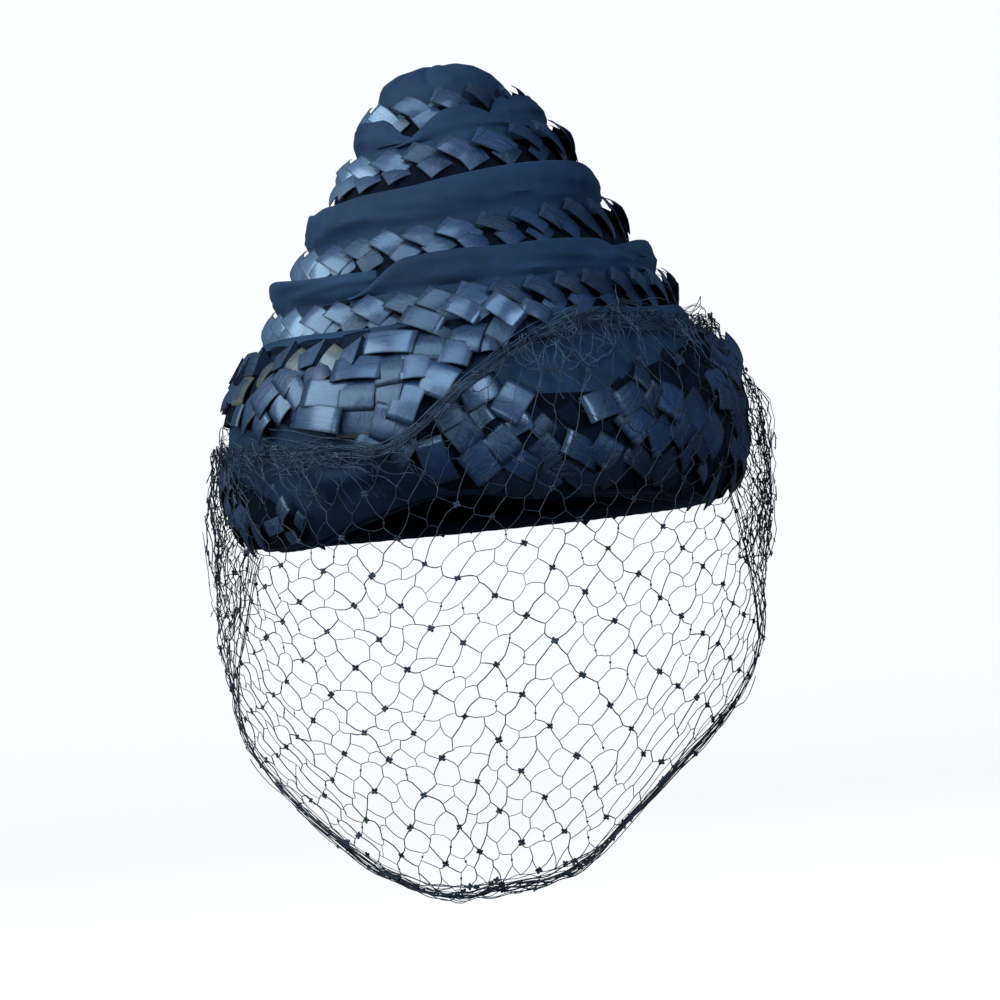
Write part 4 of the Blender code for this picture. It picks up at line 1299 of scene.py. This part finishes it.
veil = {
    "reach": 118.0,
    "lean": 0.06,
    "shift": 1.0,
    "columns": 80,          # half cells across and down
    "rowsDown": 28,
    "mainThread": 0.22,     # radius
    "fineThread": 0.16,
    "sides": 4,
    "knot": (2.9, 2.5, 1.3),
    "slack": 2.3,
    "twist": 1.7,           # half the length over which two threads run together where they cross
    "bow": 0.9,
    "gatherThreads": 24,
    "gatherRadii": (0.12, 0.15, 0.19),
    "hemThreads": 18,
    "hemRadii": (0.15, 0.20, 0.25),
    "puffRadii": (0.16, 0.22),
    "strayThreads": 110,
    "strayRadii": (0.12, 0.16, 0.2),
}


def gatherPoint(angle, out=0.0, up=0.0):
    held = min(max(angle, gatherLine[0][0]), gatherLine[-1][0])
    z = readRows(gatherLine, 1, held) + up
    return cuffFace(angle, z, readRows(gatherLine, 2, held) + out)


def veilPoint(angle, z, out=0.0):
    turn = math.radians(angle)
    a = readRows(veilShape, 1, z) + out
    b = readRows(veilShape, 2, z) + out
    return Vector((a * math.sin(turn) + veil["shift"] + veil["lean"] * min(0.0, z), -b * math.cos(turn), z))


def sheetPoint(i, j, random0, slack):
    # a crossing of the net, hanging from the gathered line to the hem
    angle = veil["reach"] * (2.0 * i / veil["columns"] - 1.0)
    share = j / veil["rowsDown"]
    angle += 1.6 * wave(i * 3.0, j * 3.0, 0.0, 17.0, 1.0) + random0.uniform(-slack, slack) * 0.25
    top = gatherPoint(angle, 3.0)
    hem = readRows(veilHem, 1, angle)
    z = top.z + (hem - top.z) * share + 3.0 * wave(i * 3.0, j * 3.0, 40.0, 21.0, 5.0) * min(1.0, share * 5.0)
    z += random0.uniform(-slack, slack) * 0.6 * min(1.0, share * 8.0)
    free = eased(share, 0.0, 0.22)
    puff = 4.5 * eased(abs(angle), 65.0, 95.0) * wave(angle * 1.2, z * 1.3, 10.0, 30.0, 4.0)
    hung = veilPoint(angle, z, 1.8 * wave(i * 3.0, j * 3.0, 80.0, 19.0, 9.0) + puff)
    return top.lerp(hung, free) if free < 1.0 and j > 0 else (top if j == 0 else hung)


def makeThreads(chains, material):
    # chains are lists of points in millimetres with a thread radius
    verts, edges, thick = [], [], []
    for points, radius in chains:
        start = len(verts)
        verts += [tuple(point * mm) for point in points]
        thick += [radius * mm] * len(points)
        edges += [(start + k, start + k + 1) for k in range(len(points) - 1)]
    mesh = bpy.data.meshes.new("threads")
    mesh.from_pydata(verts, edges, [])
    layer = mesh.attributes.new("thick", "FLOAT", "POINT")
    layer.data.foreach_set("value", thick)
    return runTree(put("threads", mesh), threadTree, {"Sides": veil["sides"], "Material": material})


def knotMesh():
    # a small square knot of four lumps
    bm = bmesh.new()
    for turn in range(4):
        way = Matrix.Rotation(math.radians(90.0 * turn + 45.0), 4, "Z")
        shape = way @ Matrix.Translation((0.27, 0.0, 0.0)) @ Matrix.Diagonal((0.30, 0.25, 0.25, 1.0))
        made = bmesh.ops.create_icosphere(bm, subdivisions=1, radius=1.0)
        bmesh.ops.transform(bm, matrix=shape, verts=made["verts"])
    bmesh.ops.scale(bm, vec=(mm, mm, mm), verts=bm.verts)
    return tileOf("knot", closed(bm, "knot"))


knot = knotMesh()


def knotSite(point, random0, size):
    outward = Vector((point.x, point.y, 0.0)).normalized()
    along = outward.cross(Vector((0.0, 0.0, 1.0)))
    turn = random0.uniform(-0.6, 0.6)
    return {
        "at": point, "facing": outward, "running": along * math.cos(turn) + Vector((0.0, 0.0, math.sin(turn))),
        "stretch": [c * size for c in veil["knot"]], "shade": 0.5, "faded": 0.0,
    }


def bowed(start, end, random0, amount, pieces=4):
    # a slack thread from one crossing to the next, without its last point
    aside = Vector([random0.uniform(-amount, amount) for _ in range(3)])
    made = [start]
    for k in range(1, pieces):
        kink = Vector([random0.uniform(-0.15, 0.15) for _ in range(3)])
        made.append(start.lerp(end, k / pieces) + aside * math.sin(math.pi * k / pieces) + kink)
    return made


def makeVeilNet():
    # threads cross at square knots, and between these they run side by side for a little way
    random0 = random.Random(7)
    across, down = veil["columns"], veil["rowsDown"]
    spots, twists = {}, {}
    for i in range(across + 1):
        for j in range(down + 1):
            if (i + j) % 2 == 0:
                knotted = i % 2 == 0 and i % 4 == j % 4
                spots[i, j] = sheetPoint(i, j, random0, veil["slack"] * (0.7 if knotted else 1.3))
                if not knotted and 0 < j < down:
                    reach = veil["twist"] * random0.uniform(0.6, 1.4)
                    twists[i, j] = Vector((random0.uniform(-0.5, 0.5), 0.0, reach))
    chains = []
    for side in (1, -1):
        starts = [(i, 0) for i in range(0, across + 1, 2)]
        starts += [(0 if side > 0 else across, j) for j in range(2, down + 1, 2)]
        for i, j in starts:
            points = []
            main = (i - side * j) % 4 == 0
            stop = None
            while (i, j) in spots:
                twist = twists.get((i, j), Vector())
                if points:
                    points += bowed(stop, spots[i, j] + twist, random0, veil["bow"])
                if twist.length:
                    points.append(spots[i, j] + twist)
                stop = spots[i, j] - twist
                i, j = i + side, j + 1
                if not points:
                    points.append(stop)
            points.append(stop)
            if len(points) > 3:
                chains.append((points, veil["mainThread"] if main else veil["fineThread"]))
    threads = makeThreads(chains, netThread)
    sites = []
    for (i, j), point in spots.items():
        if i % 2 == 0 and i % 4 == j % 4:
            sites.append(knotSite(point, random0, random0.uniform(0.85, 1.1)))
        elif random0.random() < 0.25:
            sites.append(knotSite(point, random0, 0.38))
    knots = layStrips("knots", sites, knot, 12.0, 3, netThread)
    finish("veil_net_threads", joined("veil", [threads, knots]), "veil_net", smooth=False)


def makeGather():
    # many threads drawn together along the crossing, fanning out towards both ends
    random0 = random.Random(11)
    start, end = gatherLine[0][0], gatherLine[-1][0]
    chains = []
    for n in range(veil["gatherThreads"]):
        roll, depth = random0.uniform(0.0, 2.0 * math.pi), math.sqrt(random0.random())
        up0, out0 = 3.0 * depth * math.cos(roll), 1.3 * depth * math.sin(roll)
        points = []
        steps = 90
        for k in range(steps + 1):
            angle = start + (end - start) * k / steps
            fan = 1.0 + 2.9 * eased(-angle, 20.0, 62.0) + 1.3 * eased(angle, 10.0, 45.0)
            swing = wave(angle, n * 13.0, 0.0, 16.0, 2.0)
            sway = wave(angle, n * 17.0, 50.0, 9.0, 6.0)
            up = (up0 + 2.2 * swing) * fan + sway * 0.9
            out = out0 + 0.9 * wave(angle, n * 7.0, 90.0, 11.0, 8.0)
            points.append(gatherPoint(angle, max(-0.4, out + 0.4), up))
        chains.append((points, random0.choice(veil["gatherRadii"])))
    # the gathered threads are painted paler, a painted highlight
    finish("veil_gather_threads", makeThreads(chains, netPaintedHighlight), "veil_gather", smooth=False)


def makeHem():
    # threads drawn together along the lower edge
    random0 = random.Random(12)
    chains, sites = [], []
    for n in range(veil["hemThreads"]):
        points = []
        up0, out0 = random0.uniform(-1.8, 1.8), random0.uniform(-1.4, 1.4)
        reach = veil["reach"] if n < 6 else random0.uniform(38.0, 80.0)
        steps = round(reach)
        for k in range(steps + 1):
            angle = reach * (2.0 * k / steps - 1.0)
            hem = readRows(veilHem, 1, angle)
            loose = 1.9 + 1.5 * eased(abs(angle), 30.0, 75.0)
            z = hem - 2.4 + (up0 + 1.6 * wave(angle, n * 11.0, 0.0, 10.0, 3.0)) * loose
            points.append(veilPoint(angle, z, out0 + 1.0 * wave(angle, n * 19.0, 30.0, 9.0, 4.0)))
            if random0.random() < 0.04:
                sites.append(knotSite(points[-1], random0, random0.uniform(0.6, 1.0)))
        chains.append((points, random0.choice(veil["hemRadii"])))
    threads = makeThreads(chains, netThread)
    knots = layStrips("hem knots", sites, knot, 12.0, 5, netThread)
    finish("veil_edge_threads", joined("hem", [threads, knots]), "veil_edge", smooth=False)


tangles = (     # angle from, to, height from, to, threads, points in each
    (-113.0, -78.0, -34.0, 34.0, 24, 12),
    (80.0, 112.0, -30.0, 50.0, 42, 13),
)


def makeTangles():
    # knotted puffs of net at both ends, and stray threads lying on the cloth between
    random0 = random.Random(15)
    chains, sites = [], []
    for low, high, bottom, top, count, steps in tangles:
        for _ in range(count):
            angle, z = random0.uniform(low, high), random0.uniform(bottom, top)
            out = random0.uniform(-2.0, 3.5)
            heading = random0.uniform(0.0, 2.0 * math.pi)
            points = []
            highest = top - 16.0 * random0.random() ** 2
            for _ in range(steps):
                z = min(z, highest)
                points.append(veilPoint(angle, z, out - 7.0 * eased(z, top - 24.0, top)))
                heading += random0.uniform(-0.9, 0.9)
                angle = min(max(angle + 1.9 * math.cos(heading), low), high)
                z = min(max(z + 4.2 * math.sin(heading), bottom), top)
                out = min(max(out + random0.uniform(-1.2, 1.2), -3.0), 4.5)
                if random0.random() < 0.22:
                    sites.append(knotSite(points[-1], random0, random0.uniform(0.4, 0.8)))
            chains.append((points, random0.choice(veil["puffRadii"])))
    puffs, chains = chains, []
    for _ in range(veil["strayThreads"]):
        left = random0.random() < 0.4
        angle = random0.uniform(-74.0, -14.0) if left else random0.uniform(6.0, 66.0)
        z = readRows(gatherLine, 1, angle) + random0.uniform(-3.0, 3.0)
        heading = random0.uniform(-2.3, -0.8)
        out = 5.2 if left else 5.6
        points = []
        for _ in range(random0.randint(6, 16)):
            points.append(cuffFace(angle, z, out + random0.uniform(-0.5, 0.9)))
            heading += random0.uniform(-0.55, 0.55)
            angle += 1.3 * math.cos(heading)
            z += 2.3 * math.sin(heading)
            if z < -4.0:
                break
        if len(points) > 3:
            chains.append((points, random0.choice(veil["strayRadii"])))
    # the stray threads are painted paler, a painted highlight
    threads = [makeThreads(puffs, netThread), makeThreads(chains, netPaintedHighlight)]
    knots = layStrips("tangle knots", sites, knot, 20.0, 8, netThread)
    finish("veil_stray_threads", joined("stray", threads + [knots]), "veil_net", smooth=False)


makeVeilNet()
makeGather()
makeHem()
makeTangles()
for source in (upperStrip, lowerStrip, weaveStrip, tentStrip, tentShadedSide, knot):
    bpy.data.objects.remove(source)
print("veil made")

# Floor, lights and camera

studio = {
    "floorZ": -0.262,
    "wallRadius": 3.4,
    "bendRadius": 0.9,
    "wallTop": 2.7,
    "world": (0.42, 0.66, 1.0),
    "worldStrength": 0.13,
}


def makeBowl():
    # a pale round floor that curves up into a wall on all sides
    radius, bend, floor = studio["wallRadius"], studio["bendRadius"], studio["floorZ"]
    outline = [(0.0, floor), (radius - bend, floor)]
    for k in range(1, 11):
        turn = math.radians(9.0 * k)
        outline.append((radius - bend + bend * math.sin(turn), floor + bend * (1.0 - math.cos(turn))))
    outline.append((radius, studio["wallTop"]))
    bm = bmesh.new()
    middle = bm.verts.new((0.0, 0.0, floor))
    steps = 96
    loops = []
    for i in range(steps):
        turn = 2.0 * math.pi * i / steps
        loops.append([bm.verts.new((r * math.sin(turn), -r * math.cos(turn), z)) for r, z in outline[1:]])
    for i in range(steps):
        loop, after = loops[i], loops[(i + 1) % steps]
        bm.faces.new((middle, loop[0], after[0]))
        for k in range(len(loop) - 1):
            bm.faces.new((loop[k], loop[k + 1], after[k + 1], after[k]))
    mesh = closed(bm, "bowl")
    mesh.shade_smooth()
    mesh.materials.append(makePaper("pale paper"))
    bowl = put("bowl", mesh)
    bowl.visible_diffuse = False        # the backdrop throws no light of its own on the hat
    bowl.visible_glossy = False


def makeLamp(name, place, aim, size, power, colour):
    data = bpy.data.lights.new(name, "AREA")
    data.shape = "RECTANGLE"
    data.size, data.size_y = size
    data.energy = power
    data.color = colour
    lamp = put(name, data)
    lamp.location = place
    lamp.visible_camera = False
    lamp.rotation_euler = (Vector(aim) - Vector(place)).to_track_quat("-Z", "Y").to_euler()


lamps = (       # name, place, aim, size, power, colour
    ("sky left", (-1.35, -0.30, 0.80), (0.0, 0.0, 0.03), (1.3, 1.1), 38.0, (0.50, 0.75, 1.0)),
    ("sky above", (-0.45, -1.10, 1.75), (0.0, 0.0, 0.03), (1.5, 1.1), 42.0, (0.40, 0.68, 1.0)),
    ("sky right", (1.00, -1.50, 0.80), (0.0, 0.0, 0.03), (0.9, 0.8), 38.0, (0.42, 0.66, 1.0)),
    ("low left", (-0.90, -1.40, 0.15), (0.0, 0.0, 0.02), (0.8, 0.6), 9.0, (0.46, 0.70, 1.0)),
)
for lamp in lamps:
    makeLamp(*lamp)
makeBowl()
world = bpy.data.worlds.new("studio")
world.use_nodes = True
background = world.node_tree.nodes["Background"]
background.inputs["Color"].default_value = (*studio["world"], 1.0)
background.inputs["Strength"].default_value = studio["worldStrength"]
bpy.context.scene.world = world
bpy.context.scene.view_settings.view_transform = "Standard"

view = {
    "target": (0.0049, 0.0, 0.0015),
    "distance": 1.5,
    "elevation": -1.5,
    "roll": -5.5,           # the hat is worn tipped to one side, so the camera is turned instead
    "frameWidth": 0.394,    # the width of the picture at the middle of the hat
    "sensor": 36.0,
}


def makeCamera():
    data = bpy.data.cameras.new("view")
    data.sensor_width = view["sensor"]
    data.sensor_height = view["sensor"]
    data.sensor_fit = "HORIZONTAL"
    data.lens = view["sensor"] * view["distance"] / view["frameWidth"]
    data.clip_end = 20.0
    camera = put("view", data)
    slope = math.radians(view["elevation"])
    target = Vector(view["target"])
    camera.location = target + Vector((0.0, -math.cos(slope), math.sin(slope))) * view["distance"]
    aim = (target - camera.location).to_track_quat("-Z", "Y")
    turned = aim.to_matrix() @ Matrix.Rotation(math.radians(view["roll"]), 3, "Z")
    camera.rotation_euler = turned.to_euler()
    bpy.context.scene.camera = camera


makeCamera()
print("studio made")
